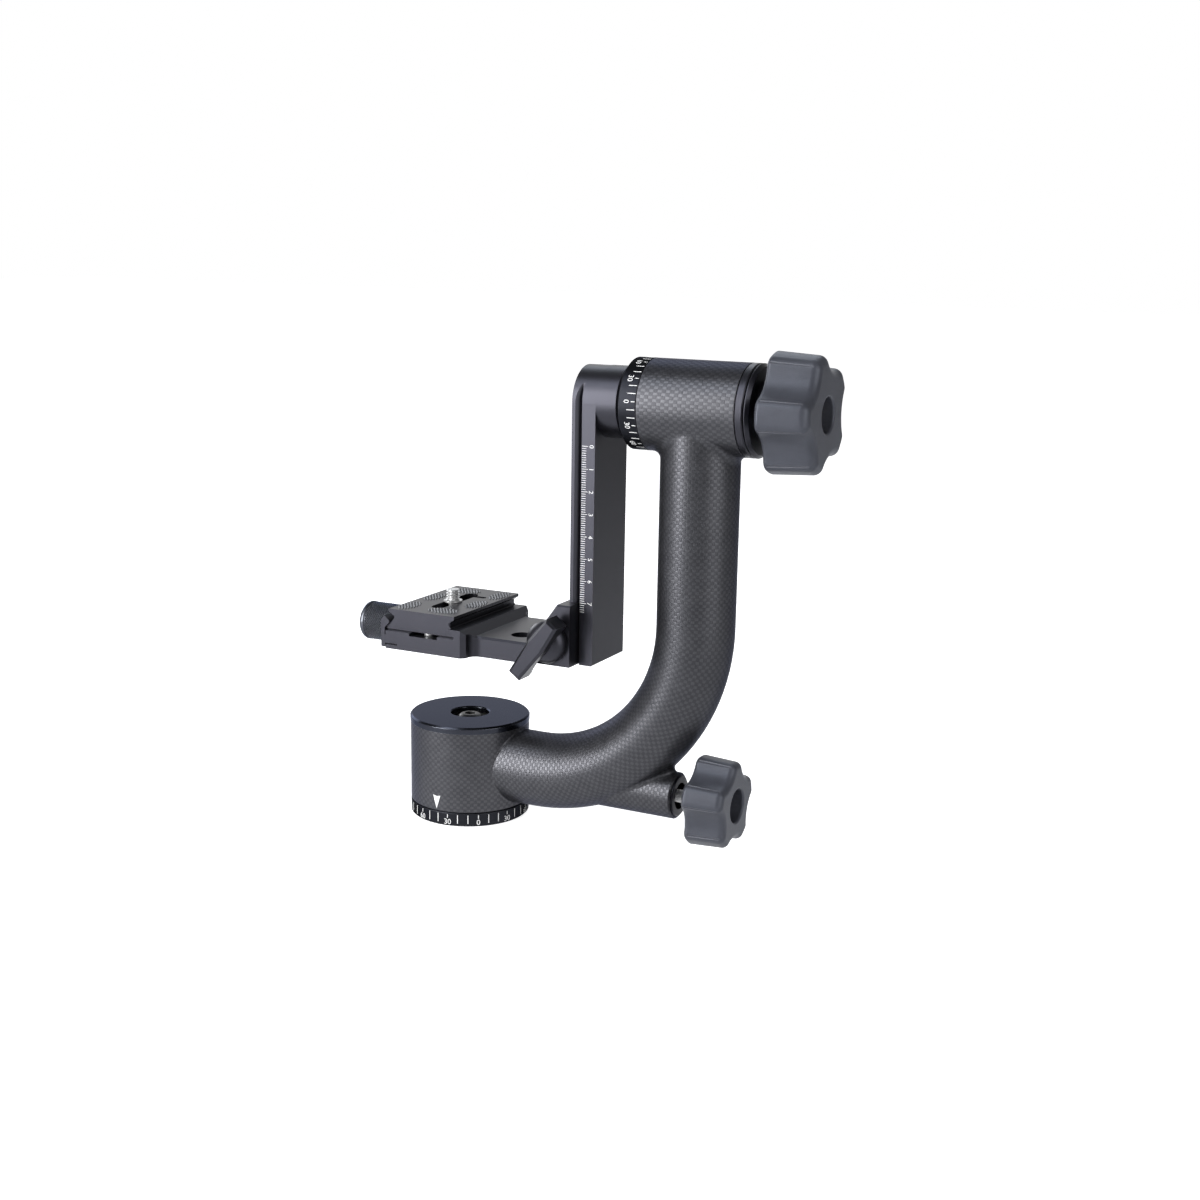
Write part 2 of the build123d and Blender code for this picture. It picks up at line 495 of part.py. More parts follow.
# ==== swing: the bar, and what turns with it on the tilt axis =================================
with BuildPart() as swing_bar:
    with BuildSketch(across(BAR_X0)):
        Circle(BAR_HW)
        with BuildLine():
            Polyline((-BAR_HW, 0), (-BAR_HW, BAR_Z0 - TILT_Z), (BAR_HW, BAR_Z0 - TILT_Z),
                     (BAR_HW, 0), close=True)
        make_face()
    extrude(amount=BAR_X1 - BAR_X0)
    lip_x, groove_x = BAR_X0 + LIP_T, BAR_X0 + LIP_T + DOVE_DEPTH
    for side in (-1, 1):
        with BuildSketch(Plane.XY.offset(BAR_Z0)):
            add(outline((lip_x, side * (BAR_HW + EDGE)), (lip_x, side * BAR_HW),
                        (groove_x, side * (BAR_HW - DOVE_DEPTH)),
                        (groove_x + GROOVE_W, side * (BAR_HW - DOVE_DEPTH)),
                        (groove_x + GROOVE_W, side * (BAR_HW + EDGE))))
        extrude(amount=TILT_Z + BAR_HW - BAR_Z0, mode=Mode.SUBTRACT)
    chamfer(swing_bar.faces().sort_by(Axis.Z)[0].edges().sort_by(Axis.X)[-1], EDGE)
    with BuildSketch(across(BAR_X0)):
        with PolarLocations(BAR_SCREW_RING_R, BAR_SCREWS, start_angle=45):
            Circle(BAR_SCREW_R)
    extrude(amount=BAR_X1 - BAR_X0, mode=Mode.SUBTRACT)
    with BuildSketch(across(BAR_X0)):
        with PolarLocations(BAR_SCREW_RING_R, BAR_SCREWS, start_angle=45):
            Circle(BAR_SCREW_HEAD_R)
    extrude(amount=BAR_SCREW_HEAD_H, mode=Mode.SUBTRACT)
    with BuildSketch(across(BAR_X0, BAR_Z0 + STOP_RISE)):
        Circle(STOP_R * 0.6)
    extrude(amount=STOP_L, mode=Mode.SUBTRACT)
save(swing_bar.part, "swing_bar")

tilt_journal_r = TILT_BRG_BORE_R - RUN
with BuildPart() as tilt_spacer:
    add(turned(TILT_Z, (BAR_X1, HUB_R), (BAR_X1, SPACER_R), (DIAL_X0, SPACER_R),
               (DIAL_X0, tilt_journal_r), (BAR_X1 + HUB_T, tilt_journal_r), (BAR_X1 + HUB_T, HUB_R)))
save(tilt_spacer.part, "tilt_spacer")

with BuildPart() as tilt_dial:
    add(turned(TILT_Z, (DIAL_X0, tilt_journal_r), (DIAL_X0, HOUSING_R - DIAL_CONE_R),
               (DIAL_X0 + DIAL_CONE, HOUSING_R), (DIAL_X1, HOUSING_R), (DIAL_X1, LINING_R),
               (DIAL_X1 - LINING_SINK, LINING_R), (DIAL_X1 - LINING_SINK, tilt_journal_r)))
save(tilt_dial.part, "tilt_dial")

with BuildPart() as friction_lining:
    lining_x = DIAL_X1 - LINING_SINK
    add(turned(TILT_Z, (lining_x, tilt_journal_r), (lining_x, LINING_R),
               (lining_x + LINING_T, LINING_R), (lining_x + LINING_T, tilt_journal_r)))
save(friction_lining.part, "friction_lining")

with BuildPart() as tilt_spindle:
    add(turned(TILT_Z, (BAR_X1, 0), (BAR_X1, HUB_R), (BAR_X1 + HUB_T, HUB_R),
               (BAR_X1 + HUB_T, tilt_journal_r), (TAIL_X0, tilt_journal_r), (TAIL_X0, TAIL_R),
               (TAIL_X0 + TAIL_L - EDGE, TAIL_R), (TAIL_X0 + TAIL_L, TAIL_R - EDGE),
               (TAIL_X0 + TAIL_L, 0)))
    with BuildSketch(across(BAR_X1)):
        with PolarLocations(BAR_SCREW_RING_R, BAR_SCREWS, start_angle=45):
            Circle(BAR_SCREW_R)
    extrude(amount=HUB_T, mode=Mode.SUBTRACT)
save(tilt_spindle.part, "tilt_spindle")

with BuildPart() as bar_screws:
    with BuildSketch(across(BAR_X0 + EDGE)):
        with PolarLocations(BAR_SCREW_RING_R, BAR_SCREWS, start_angle=45):
            Circle(BAR_SCREW_HEAD_R)
    extrude(amount=BAR_SCREW_HEAD_H - EDGE)
    with BuildSketch(across(BAR_X0 + BAR_SCREW_HEAD_H)):
        with PolarLocations(BAR_SCREW_RING_R, BAR_SCREWS, start_angle=45):
            Circle(BAR_SCREW_R)
    extrude(amount=BAR_SCREW_L)
    with BuildSketch(across(BAR_X0 + EDGE)):
        with PolarLocations(BAR_SCREW_RING_R, BAR_SCREWS, start_angle=45):
            RegularPolygon(BAR_SCREW_R, 6)
    extrude(amount=BAR_SCREW_HEAD_H / 2, mode=Mode.SUBTRACT)
save(bar_screws.part, "bar_screws")

with BuildPart() as bar_stop_screw:
    add(turned(BAR_Z0 + STOP_RISE, (BAR_X0 - STOP_H, 0), (BAR_X0 - STOP_H, STOP_R - EDGE),
               (BAR_X0 - STOP_H + EDGE, STOP_R), (BAR_X0, STOP_R), (BAR_X0, STOP_R * 0.6),
               (BAR_X0 + STOP_L, STOP_R * 0.6), (BAR_X0 + STOP_L, 0)))
save(bar_stop_screw.part, "bar_stop_screw")

# ==== tilt clamp: the collar slides on the tail, the knob turns against it ====================
with BuildPart() as clamp_collar:
    neck_x1 = COLLAR_X + COLLAR_T + COLLAR_NECK_L
    add(turned(TILT_Z, (COLLAR_X, TAIL_R + RUN), (COLLAR_X, HOUSING_R - EDGE),
               (COLLAR_X + EDGE, HOUSING_R), (COLLAR_X + COLLAR_T - COLLAR_CHAMFER, HOUSING_R),
               (COLLAR_X + COLLAR_T, HOUSING_R - COLLAR_CHAMFER), (COLLAR_X + COLLAR_T, COLLAR_NECK_R),
               (neck_x1, COLLAR_NECK_R), (neck_x1, TAIL_R + RUN)))
save(clamp_collar.part, "clamp_collar")

with BuildPart() as tilt_knob:
    add(star_knob(KNOB_X0, TILT_KNOB_L, TILT_KNOB_R, TILT_KNOB_PHASE, TILT_Z,
                  TILT_KNOB_HUB_R, NUT_R))
save(tilt_knob.part, "tilt_knob")

with BuildPart() as tilt_knob_nut:
    nut_x1 = KNOB_X0 + TILT_KNOB_L * (1 - KNOB_HOLE_SHARE)
    add(turned(TILT_Z, (KNOB_X0, TAIL_R + RUN), (KNOB_X0, NUT_R), (nut_x1, NUT_R),
               (nut_x1, TAIL_R + RUN)))
save(tilt_knob_nut.part, "tilt_knob_nut")

# ==== platform: one machined piece that rides on the bar and carries the plate ================
lip_x = PLATE_X + DOVE_HW + SLIDE             # foot of the fixed lip, beside the plate's edge
edge_z = PLATE_Z0 + DOVE_EDGE                 # top of the plate's upright edge
profile = ((CLAMP_X0, PLAT_Z0), (BRKT_X1, PLAT_Z0), (BRKT_X1, BRKT_TOP),
           (BRKT_X1 - BRKT_TOP_W, BRKT_TOP), (BRKT_X1 - BRKT_FOOT_W, NECK_TOP),
           (LIP_SLOPE_X, NECK_TOP), (LIP_TOP_X, LIP_TOP), (lip_x - LIP_REACH, LIP_TOP),
           (lip_x - LIP_REACH, edge_z + LIP_REACH), (lip_x, edge_z), (lip_x, CLAMP_FLOOR),
           (CLAMP_X0, CLAMP_FLOOR))

with BuildPart() as platform_bracket:
    with BuildSketch(Plane.XY.offset(PLAT_Z0)) as plan:
        with BuildLine():
            Polyline((CLAMP_X0, -CLAMP_HW), (CLAMP_X1, -CLAMP_HW), (CLAMP_X1, -NECK_HW),
                     (BRKT_X1, -NECK_HW), (BRKT_X1, NECK_HW), (CLAMP_X1, NECK_HW),
                     (CLAMP_X1, CLAMP_HW), (CLAMP_X0, CLAMP_HW), close=True)
        make_face()
        fillet(plan.vertices().filter_by(lambda v: abs(v.X - CLAMP_X1) < 0.01
                                         and abs(abs(v.Y) - NECK_HW) < 0.01), NECK_BLEND)
        chamfer(plan.vertices().filter_by(lambda v: abs(v.X - CLAMP_X1) < 0.01
                                          and abs(abs(v.Y) - CLAMP_HW) < 0.01), CLAMP_CORNER)
    extrude(amount=BRKT_TOP - PLAT_Z0)
    with BuildSketch(Plane.XZ):
        add(outline(*profile))
    extrude(amount=CLAMP_HW, both=True, mode=Mode.INTERSECT)
    neck_edges = platform_bracket.edges().filter_by(Axis.X).filter_by(
        lambda e: abs(abs(e.center().Y) - NECK_HW) < 0.01 and abs(e.center().Z - NECK_TOP) < 0.01)
    chamfer(neck_edges, NECK_BEVEL)
    # seat of the rail jaw, then the channel that runs along the bar
    with BuildSketch(Plane.XY.offset(PLAT_Z0)):
        with Locations((RJAW_X0 - RJAW_GAP, -NECK_HW)):
            Rectangle(BRKT_X1, RJAW_T + RJAW_GAP, align=Align.MIN)
        edge_y, floor_x = BAR_HW + SLIDE, BAR_X0 - SLIDE
        add(outline((floor_x, RJAW_Y1), (floor_x, edge_y), (BAR_X0 + LIP_T, edge_y),
                    (BRKT_X1, edge_y - (BRKT_X1 - BAR_X0 - LIP_T)), (BRKT_X1, RJAW_Y1)))
    extrude(amount=BRKT_TOP - PLAT_Z0, mode=Mode.SUBTRACT)
    # slot for the bar's stop screw, open below
    with BuildSketch(across(floor_x, BAR_Z0 + STOP_RISE)):
        Circle(STOP_R + SLIDE)
        with Locations((0, -STOP_RISE)):
            Rectangle(2 * (STOP_R + SLIDE), 2 * STOP_RISE)
    extrude(amount=-STOP_H - SLIDE, mode=Mode.SUBTRACT)
    # relief under the plate, the tongue's slot, and the clamp stud's bore
    with BuildSketch(Plane.XZ):
        with Locations((RELIEF_X, CLAMP_FLOOR)):
            Rectangle(RELIEF_W, 2 * RELIEF_D)
        with Locations((CLAMP_X0, CLAMP_AXIS_Z)):
            Rectangle(2 * (JAW_X1 + TONGUE_L + SLIDE - CLAMP_X0), TONGUE_H + 2 * SLIDE)
    extrude(amount=CLAMP_HW, both=True, mode=Mode.SUBTRACT)
    with BuildSketch(across(CLAMP_X0, CLAMP_AXIS_Z)):
        Circle(CLAMP_STUD_R + RUN)
    extrude(amount=CLAMP_STUD_X1 + SEAM - CLAMP_X0, mode=Mode.SUBTRACT)
    with BuildSketch(across(JAW_X1 + TONGUE_L, CLAMP_AXIS_Z)):
        with Locations((-SPRING_Y, 0), (SPRING_Y, 0)):
            Circle(SPRING_R + 2 * RUN)
    extrude(amount=SPRING_L, mode=Mode.SUBTRACT)
    # holes: neck, lever stud, guide pins, plate pin
    with BuildSketch(Plane.XY.offset(PLAT_Z0)):
        with Locations((NECK_HOLE_X, NECK_HOLE_Y)):
            Circle(NECK_HOLE_R)
    extrude(amount=NECK_T, mode=Mode.SUBTRACT)
    with BuildSketch(Plane.XZ.offset(-RJAW_Y1)):
        with Locations((LEVER_X, LEVER_Z)):
            Circle(LEVER_STUD_R + RUN)
    extrude(amount=-(LEVER_STUD_Y1 + SEAM - RJAW_Y1), mode=Mode.SUBTRACT)
    with BuildSketch(Plane.XZ.offset(-RJAW_Y1)):
        with Locations(*[(GUIDE_X, z) for z in GUIDE_Z]):
            Circle(GUIDE_R)
    extrude(amount=-(GUIDE_L - GUIDE_ENGAGE), mode=Mode.SUBTRACT)
    with BuildSketch(Plane.XY.offset(CLAMP_FLOOR)):
        with Locations((RELIEF_X, PLATE_Y)):
            Circle(PIN_R)
    extrude(amount=-PIN_L, mode=Mode.SUBTRACT)
save(platform_bracket.part, "platform_bracket")

with BuildPart() as guide_pins:
    with BuildSketch(Plane.XZ.offset(-RJAW_Y1 + GUIDE_ENGAGE)):
        with Locations(*[(GUIDE_X, z) for z in GUIDE_Z]):
            Circle(GUIDE_R)
    extrude(amount=-GUIDE_L)
save(guide_pins.part, "guide_pins")

with BuildPart() as plate_stop_pin:
    with BuildSketch(Plane.XY.offset(CLAMP_FLOOR)):
        with Locations((RELIEF_X, PLATE_Y)):
            Circle(PIN_R)
    extrude(amount=-PIN_L)
save(plate_stop_pin.part, "plate_stop_pin")

spring_x0 = JAW_X1 + TONGUE_L
with BuildPart() as jaw_springs:
    for y in (-SPRING_Y, SPRING_Y):
        coil = Helix(pitch=(SPRING_L - 2 * SPRING_WIRE) / SPRING_TURNS, height=SPRING_L - 2 * SPRING_WIRE,
                     radius=SPRING_R - SPRING_WIRE, mode=Mode.PRIVATE)
        coil = Plane(origin=(spring_x0 + SPRING_WIRE, y, CLAMP_AXIS_Z), x_dir=(0, 1, 0),
                     z_dir=(1, 0, 0)).location * coil
        with BuildSketch(Plane(origin=coil @ 0, z_dir=coil % 0)):
            RegularPolygon(SPRING_WIRE, 6)
        sweep(path=coil, is_frenet=True)
save(jaw_springs.part, "jaw_springs")

# ==== rail jaw and its wing lever =============================================================
with BuildPart() as rail_jaw:
    with BuildSketch(Plane.XY.offset(RJAW_Z0)):
        lip_edge = BAR_HW + SLIDE
        add(outline((RJAW_X0, -NECK_HW), (BRKT_X1, -NECK_HW),
                    (BRKT_X1, -lip_edge + BRKT_X1 - BAR_X0 - LIP_T), (BAR_X0 + LIP_T, -lip_edge),
                    (BAR_X0 + LIP_T, RJAW_Y1), (RJAW_X0, RJAW_Y1)))
    extrude(amount=BRKT_TOP - RJAW_Z0)
    with BuildSketch(Plane.XZ):
        add(outline(*profile))
    extrude(amount=NECK_HW, both=True, mode=Mode.INTERSECT)
    front = rail_jaw.faces().sort_by(Axis.Y)[0]
    chamfer(front.edges().filter_by(lambda e: e.center().Z > NECK_TOP
                                    and e.center().X < BRKT_X1 - EDGE), RJAW_BEVEL)
    with BuildSketch(Plane.XZ.offset(NECK_HW)):
        with Locations((LEVER_X, LEVER_Z)):
            Circle(LEVER_STUD_R + 2 * RUN)
    extrude(amount=-RJAW_T, mode=Mode.SUBTRACT)
    with BuildSketch(Plane.XZ.offset(-RJAW_Y1)):
        with Locations(*[(GUIDE_X, z) for z in GUIDE_Z]):
            Circle(GUIDE_R + RUN)
    extrude(amount=GUIDE_ENGAGE + SEAM, mode=Mode.SUBTRACT)
save(rail_jaw.part, "rail_jaw")

hub_y = -NECK_HW - SEAM                       # the lever hub's face on the jaw
wing_y = -NECK_HW - WING_GAP                  # back of the wings, and their front
wing_y1 = wing_y - WING_T
turn = radians(WING_TURN)
along = (cos(turn), 0, sin(turn))
with BuildPart() as rail_lever:
    with BuildSketch(Plane(origin=(LEVER_X, wing_y, LEVER_Z), x_dir=along, z_dir=(0, -1, 0))):
        with BuildLine():
            Polyline((-WING_LONG, -WING_TIP_W / 2), (0, -WING_W / 2), (WING_SHORT, -WING_TIP_W / 2),
                     (WING_SHORT, WING_TIP_W / 2), (0, WING_W / 2), (-WING_LONG, WING_TIP_W / 2),
                     close=True)
        make_face()
    extrude(amount=WING_T)
    chamfer(rail_lever.faces().sort_by(Axis.Y)[0].edges(), WING_BEVEL)
    with BuildSketch(Plane(origin=(LEVER_X, 0, LEVER_Z), x_dir=along, z_dir=(-sin(turn), 0, cos(turn)))):
        with BuildLine():
            Line((-WING_LONG + WING_WEB / 2, wing_y), (WING_SHORT - WING_WEB / 2, wing_y))
            ThreePointArc((WING_SHORT - WING_WEB / 2, wing_y), (0, wing_y1 + WING_WEB),
                          (-WING_LONG + WING_WEB / 2, wing_y))
        make_face()
    extrude(amount=WING_W, both=True, mode=Mode.SUBTRACT)
    with BuildSketch(Plane(origin=(LEVER_X, hub_y, LEVER_Z), x_dir=(1, 0, 0), z_dir=(0, 0, -1))):
        with BuildLine():
            Polyline((0, 0), (LEVER_HUB_R, 0), (LEVER_HUB_R, LEVER_HUB_H * 0.3))
            ThreePointArc((LEVER_HUB_R, LEVER_HUB_H * 0.3), (LEVER_DOME_R, LEVER_HUB_H * 0.78),
                          (LEVER_DOME_R * 0.5, LEVER_HUB_H))
            Polyline((LEVER_DOME_R * 0.5, LEVER_HUB_H), (LEVER_DOME_R * 0.5, hub_y - wing_y1 - WING_WEB / 2),
                     (0, hub_y - wing_y1 - WING_WEB / 2), (0, 0))
        make_face()
    revolve(axis=Axis((LEVER_X, 0, LEVER_Z), (0, 1, 0)))
    with BuildSketch(Plane.XZ.offset(-hub_y)):
        with Locations((LEVER_X, LEVER_Z)):
            Circle(LEVER_STUD_R)
    extrude(amount=LEVER_STUD_HEAD, mode=Mode.SUBTRACT)
save(rail_lever.part, "rail_lever")

with BuildPart() as lever_stud:
    with BuildSketch(Plane.XZ.offset(-hub_y + LEVER_STUD_HEAD)):
        with Locations((LEVER_X, LEVER_Z)):
            Circle(LEVER_STUD_R)
    extrude(amount=-LEVER_STUD_L)
save(lever_stud.part, "lever_stud")

# ==== movable jaw and its knurled knob ========================================================
with BuildPart() as clamp_jaw:
    outer_x, nose_x = JAW_X1 - JAW_T, JAW_X1 + LIP_REACH
    with BuildSketch(Plane.XZ):
        add(outline((outer_x, PLAT_Z0), (JAW_X1, PLAT_Z0), (JAW_X1, CLAMP_AXIS_Z - TONGUE_H / 2),
                    (JAW_X1 + TONGUE_L, CLAMP_AXIS_Z - TONGUE_H / 2),
                    (JAW_X1 + TONGUE_L, CLAMP_AXIS_Z + TONGUE_H / 2),
                    (JAW_X1, CLAMP_AXIS_Z + TONGUE_H / 2), (JAW_X1, edge_z),
                    (nose_x, edge_z + LIP_REACH), (nose_x, JAW_SHOULDER), (JAW_X1, JAW_CREST),
                    (outer_x, JAW_SHOULDER)))
    extrude(amount=JAW_HL, both=True)
    with BuildSketch(across(outer_x, CLAMP_AXIS_Z)):
        Circle(CLAMP_STUD_R + RUN)
    extrude(amount=JAW_T + TONGUE_L, mode=Mode.SUBTRACT)
save(clamp_jaw.part, "clamp_jaw")

cknob_x1 = CKNOB_X0 + CKNOB_L
with BuildPart() as clamp_knob:
    add(turned(CLAMP_AXIS_Z, (CKNOB_X0, 0), (CKNOB_X0, CKNOB_R - CKNOB_EDGE),
               (CKNOB_X0 + CKNOB_EDGE * 0.6, CKNOB_R), (cknob_x1 - CKNOB_EDGE / 2, CKNOB_R),
               (cknob_x1, CKNOB_R - CKNOB_EDGE / 2), (cknob_x1, CKNOB_NECK_R),
               (outer_x - SEAM, CKNOB_NECK_R), (outer_x - SEAM, CLAMP_STUD_R),
               (cknob_x1 - CKNOB_NECK_R, CLAMP_STUD_R), (cknob_x1 - CKNOB_NECK_R, 0)))
save(clamp_knob.part, "clamp_knob")

with BuildPart() as clamp_stud:
    add(turned(CLAMP_AXIS_Z, (cknob_x1 - CKNOB_NECK_R, 0), (cknob_x1 - CKNOB_NECK_R, CLAMP_STUD_R),
               (CLAMP_STUD_X1 - EDGE, CLAMP_STUD_R), (CLAMP_STUD_X1, CLAMP_STUD_R - EDGE),
               (CLAMP_STUD_X1, 0)))
save(clamp_stud.part, "clamp_stud")

# ==== quick plate, its pads, and the camera screw that slides in its slot =====================
waist_z = edge_z + DOVE_HW - WAIST_HW
deck_z = DECK_TOP - DECK_T
pad_places = [(PLATE_X + s * x, PLATE_Y + s * y, rx, ry) for x, y, rx, ry in GRIP_PADS for s in (1, -1)]
with BuildPart() as quick_plate:
    with BuildSketch(Plane.XZ.offset(-PLATE_Y)):
        add(outline(*[(PLATE_X + s * w, z) for s, steps in
                      ((1, ((DOVE_HW, PLATE_Z0), (DOVE_HW, edge_z), (WAIST_HW, waist_z),
                            (WAIST_HW, deck_z - UNDERCUT_H), (DECK_HW, deck_z), (DECK_HW, DECK_TOP))),
                       (-1, ((DECK_HW, DECK_TOP), (DECK_HW, deck_z), (WAIST_HW, deck_z - UNDERCUT_H),
                             (WAIST_HW, waist_z), (DOVE_HW, edge_z), (DOVE_HW, PLATE_Z0))))
                      for w, z in steps]))
    extrude(amount=PLATE_HL, both=True)
    fillet(quick_plate.edges().filter_by(Axis.Z).group_by(SortBy.LENGTH)[-1], 1.0)
    with BuildSketch(Plane.XY.offset(PLATE_Z0)):
        with Locations((PLATE_X, PLATE_Y)):
            SlotCenterToCenter(2 * (POCKET_HL - POCKET_HW), 2 * POCKET_HW, rotation=90)
    extrude(amount=POCKET_D, mode=Mode.SUBTRACT)
    with BuildSketch(Plane.XY.offset(PLATE_Z0)):
        with Locations((PLATE_X, PLATE_Y)):
            SlotCenterToCenter(2 * SLOT_HL, 2 * SLOT_R, rotation=90)
        with Locations((PLATE_X + CROSS_X, PLATE_Y + CROSS_Y)):
            SlotOverall(CROSS_L, CROSS_W)
    extrude(amount=DECK_TOP - PLATE_Z0, mode=Mode.SUBTRACT)
    with BuildSketch(Plane.XY.offset(PLATE_Z0)):
        with Locations(*[(RELIEF_X, PLATE_Y + side * STOP_SCREW_Y) for side in (-1, 1)]):
            Circle(STOP_SCREW_R / 2)
    extrude(amount=STOP_SCREW_L, mode=Mode.SUBTRACT)
    with BuildSketch(Plane.XY.offset(DECK_TOP)):
        for x, y, rx, ry in pad_places:
            with Locations((x, y)):
                Ellipse(rx, ry)
    extrude(amount=-PAD_SINK, mode=Mode.SUBTRACT)
save(quick_plate.part, "quick_plate")

with BuildPart() as grip_pads:
    with BuildSketch(Plane.XY.offset(DECK_TOP - PAD_SINK)):
        for x, y, rx, ry in pad_places:
            with Locations((x, y)):
                Ellipse(rx, ry)
    extrude(amount=PAD_SINK + PAD_PROUD)
save(grip_pads.part, "grip_pads")

# button-headed screws under the plate's ends, which meet the stop pin in the clamp's relief
with BuildPart() as plate_stop_screws:
    for side in (-1, 1):
        with BuildSketch(Plane.XY.offset(PLATE_Z0 - STOP_SCREW_H)):
            with Locations((RELIEF_X, PLATE_Y + side * STOP_SCREW_Y)):
                Circle(STOP_SCREW_R)
        extrude(amount=STOP_SCREW_H)
        chamfer(plate_stop_screws.edges(Select.LAST).sort_by(Axis.Z)[0], EDGE)
        with BuildSketch(Plane.XY.offset(PLATE_Z0)):
            with Locations((RELIEF_X, PLATE_Y + side * STOP_SCREW_Y)):
                Circle(STOP_SCREW_R / 2)
        extrude(amount=STOP_SCREW_L)
save(plate_stop_screws.part, "plate_stop_screws")

washer_z = DECK_TOP + SLIDE
with BuildPart() as screw_washer:
    with BuildSketch(Plane.XY.offset(washer_z)):
        with Locations((PLATE_X, 0)):
            Circle(CAM_WASHER_R)
            Circle(CAM_NECK_R + RUN, mode=Mode.SUBTRACT)
    extrude(amount=CAM_WASHER_T)
save(screw_washer.part, "screw_washer")

with BuildPart() as camera_screw:
    head_z1 = PLATE_Z0 + POCKET_D - SLIDE
    head_z0 = head_z1 - CAM_HEAD_H
    thread_z = washer_z + CAM_WASHER_T + SLIDE
    with BuildSketch(Plane.XZ):
        add(outline(*[(PLATE_X + r, z) for r, z in
                      ((0, head_z0), (CAM_HEAD_R - EDGE, head_z0), (CAM_HEAD_R, head_z0 + EDGE),
                       (CAM_HEAD_R, head_z1), (CAM_NECK_R, head_z1), (CAM_NECK_R, thread_z),
                       (CAM_R, thread_z), (CAM_R, DECK_TOP + CAM_PROUD - EDGE),
                       (CAM_R - EDGE, DECK_TOP + CAM_PROUD), (0, DECK_TOP + CAM_PROUD))]))
    revolve(axis=Axis((PLATE_X, 0, 0), (0, 0, 1)))
    with BuildSketch(Plane.XY.offset(head_z0)):
        with Locations((PLATE_X, 0)):
            Rectangle(2 * CAM_HEAD_R, CAM_HEAD_R / 4)
    extrude(amount=CAM_HEAD_H / 2, mode=Mode.SUBTRACT)
save(camera_screw.part, "camera_screw")
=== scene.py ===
"""Looks of a gimbal tripod head: its finishes, printed scales, threads and knurling, and the studio.

Lengths in the head's classes are millimetres, and the studio's are metres. Meshes and objects are in
metres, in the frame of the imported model: +Z up along the pan axis, +X from the pan axis towards the
upright arm.
"""
import logging
import math
from dataclasses import dataclass
from enum import Enum
from typing import Callable, Sequence

import bmesh
import bpy
from mathutils import Matrix, Vector


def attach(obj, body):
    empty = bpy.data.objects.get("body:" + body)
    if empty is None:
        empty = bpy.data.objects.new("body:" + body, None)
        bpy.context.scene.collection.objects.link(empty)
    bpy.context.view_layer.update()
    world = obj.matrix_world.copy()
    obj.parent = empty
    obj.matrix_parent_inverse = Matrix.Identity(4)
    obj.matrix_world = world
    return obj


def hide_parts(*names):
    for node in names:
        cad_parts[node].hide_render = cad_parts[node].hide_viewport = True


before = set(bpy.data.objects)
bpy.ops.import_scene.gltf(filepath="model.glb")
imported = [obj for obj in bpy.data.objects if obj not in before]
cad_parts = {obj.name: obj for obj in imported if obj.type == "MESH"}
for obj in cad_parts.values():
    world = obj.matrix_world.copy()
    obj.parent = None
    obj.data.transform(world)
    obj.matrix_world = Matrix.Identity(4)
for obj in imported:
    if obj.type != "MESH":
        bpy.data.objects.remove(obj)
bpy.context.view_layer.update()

log = logging.getLogger("gimbal_head")
MM = 0.001
Pair = tuple[float, float]
Triple = tuple[float, float, float]
Colour = tuple[float, float, float]
Laying = Callable[[Vector], Vector]


# ---- shader arithmetic ---------------------------------------------------------------------------
class Signal:
    """A number on its way through a shader tree, which can be reckoned with."""

    def __init__(self, tree: bpy.types.NodeTree, socket: bpy.types.NodeSocket) -> None:
        """Wrap a node's output socket."""
        self.tree = tree
        self.socket = socket

    def math(self, operation: str, *others: "Signal | float", swapped: bool = False) -> "Signal":
        """Add a Math node.

        Args:
            operation: the Math node's operation.
            others: its other operands.
            swapped: put this signal last.

        Returns:
            The node's output.
        """
        node = self.tree.nodes.new("ShaderNodeMath")
        node.operation = operation
        operands = [self, *others]
        if swapped:
            operands.reverse()
        for slot, operand in zip(node.inputs, operands):
            if isinstance(operand, Signal):
                self.tree.links.new(operand.socket, slot)
            else:
                slot.default_value = operand
        return Signal(self.tree, node.outputs[0])

    def __add__(self, other: "Signal | float") -> "Signal":
        """Sum."""
        return self.math("ADD", other)

    def __sub__(self, other: "Signal | float") -> "Signal":
        """Difference."""
        return self.math("SUBTRACT", other)

    def __rsub__(self, other: float) -> "Signal":
        """Difference from a plain number."""
        return self.math("SUBTRACT", other, swapped=True)

    def __mul__(self, other: "Signal | float") -> "Signal":
        """Product."""
        return self.math("MULTIPLY", other)

    def hypot(self, other: "Signal") -> "Signal":
        """Length of the vector (self, other)."""
        return (self * self + other * other).math("SQRT")

    def angle(self, other: "Signal | float") -> "Signal":
        """Angle of the vector (other, self), in radians."""
        return self.math("ARCTAN2", other)

    def below(self, limit: float) -> "Signal":
        """1 where this is under the limit, else 0."""
        return self.math("LESS_THAN", limit)

    def at_least(self, limit: "Signal | float") -> "Signal":
        """This, or the limit where that is more."""
        return self.math("MAXIMUM", limit)

    def at_most(self, limit: "Signal | float") -> "Signal":
        """This, or the limit where that is less."""
        return self.math("MINIMUM", limit)

    def choose(self, low: "Signal", high: "Signal") -> "Signal":
        """low where this mask is 0, high where it is 1."""
        return low + self * (high - low)


def weigh(*shares: tuple[Signal, float]) -> Signal:
    """Add up signals, each times its share.

    Args:
        shares: each signal with its share.

    Returns:
        The sum.
    """
    total, *rest = (signal * share for signal, share in shares)
    for part in rest:
        total = total + part
    return total


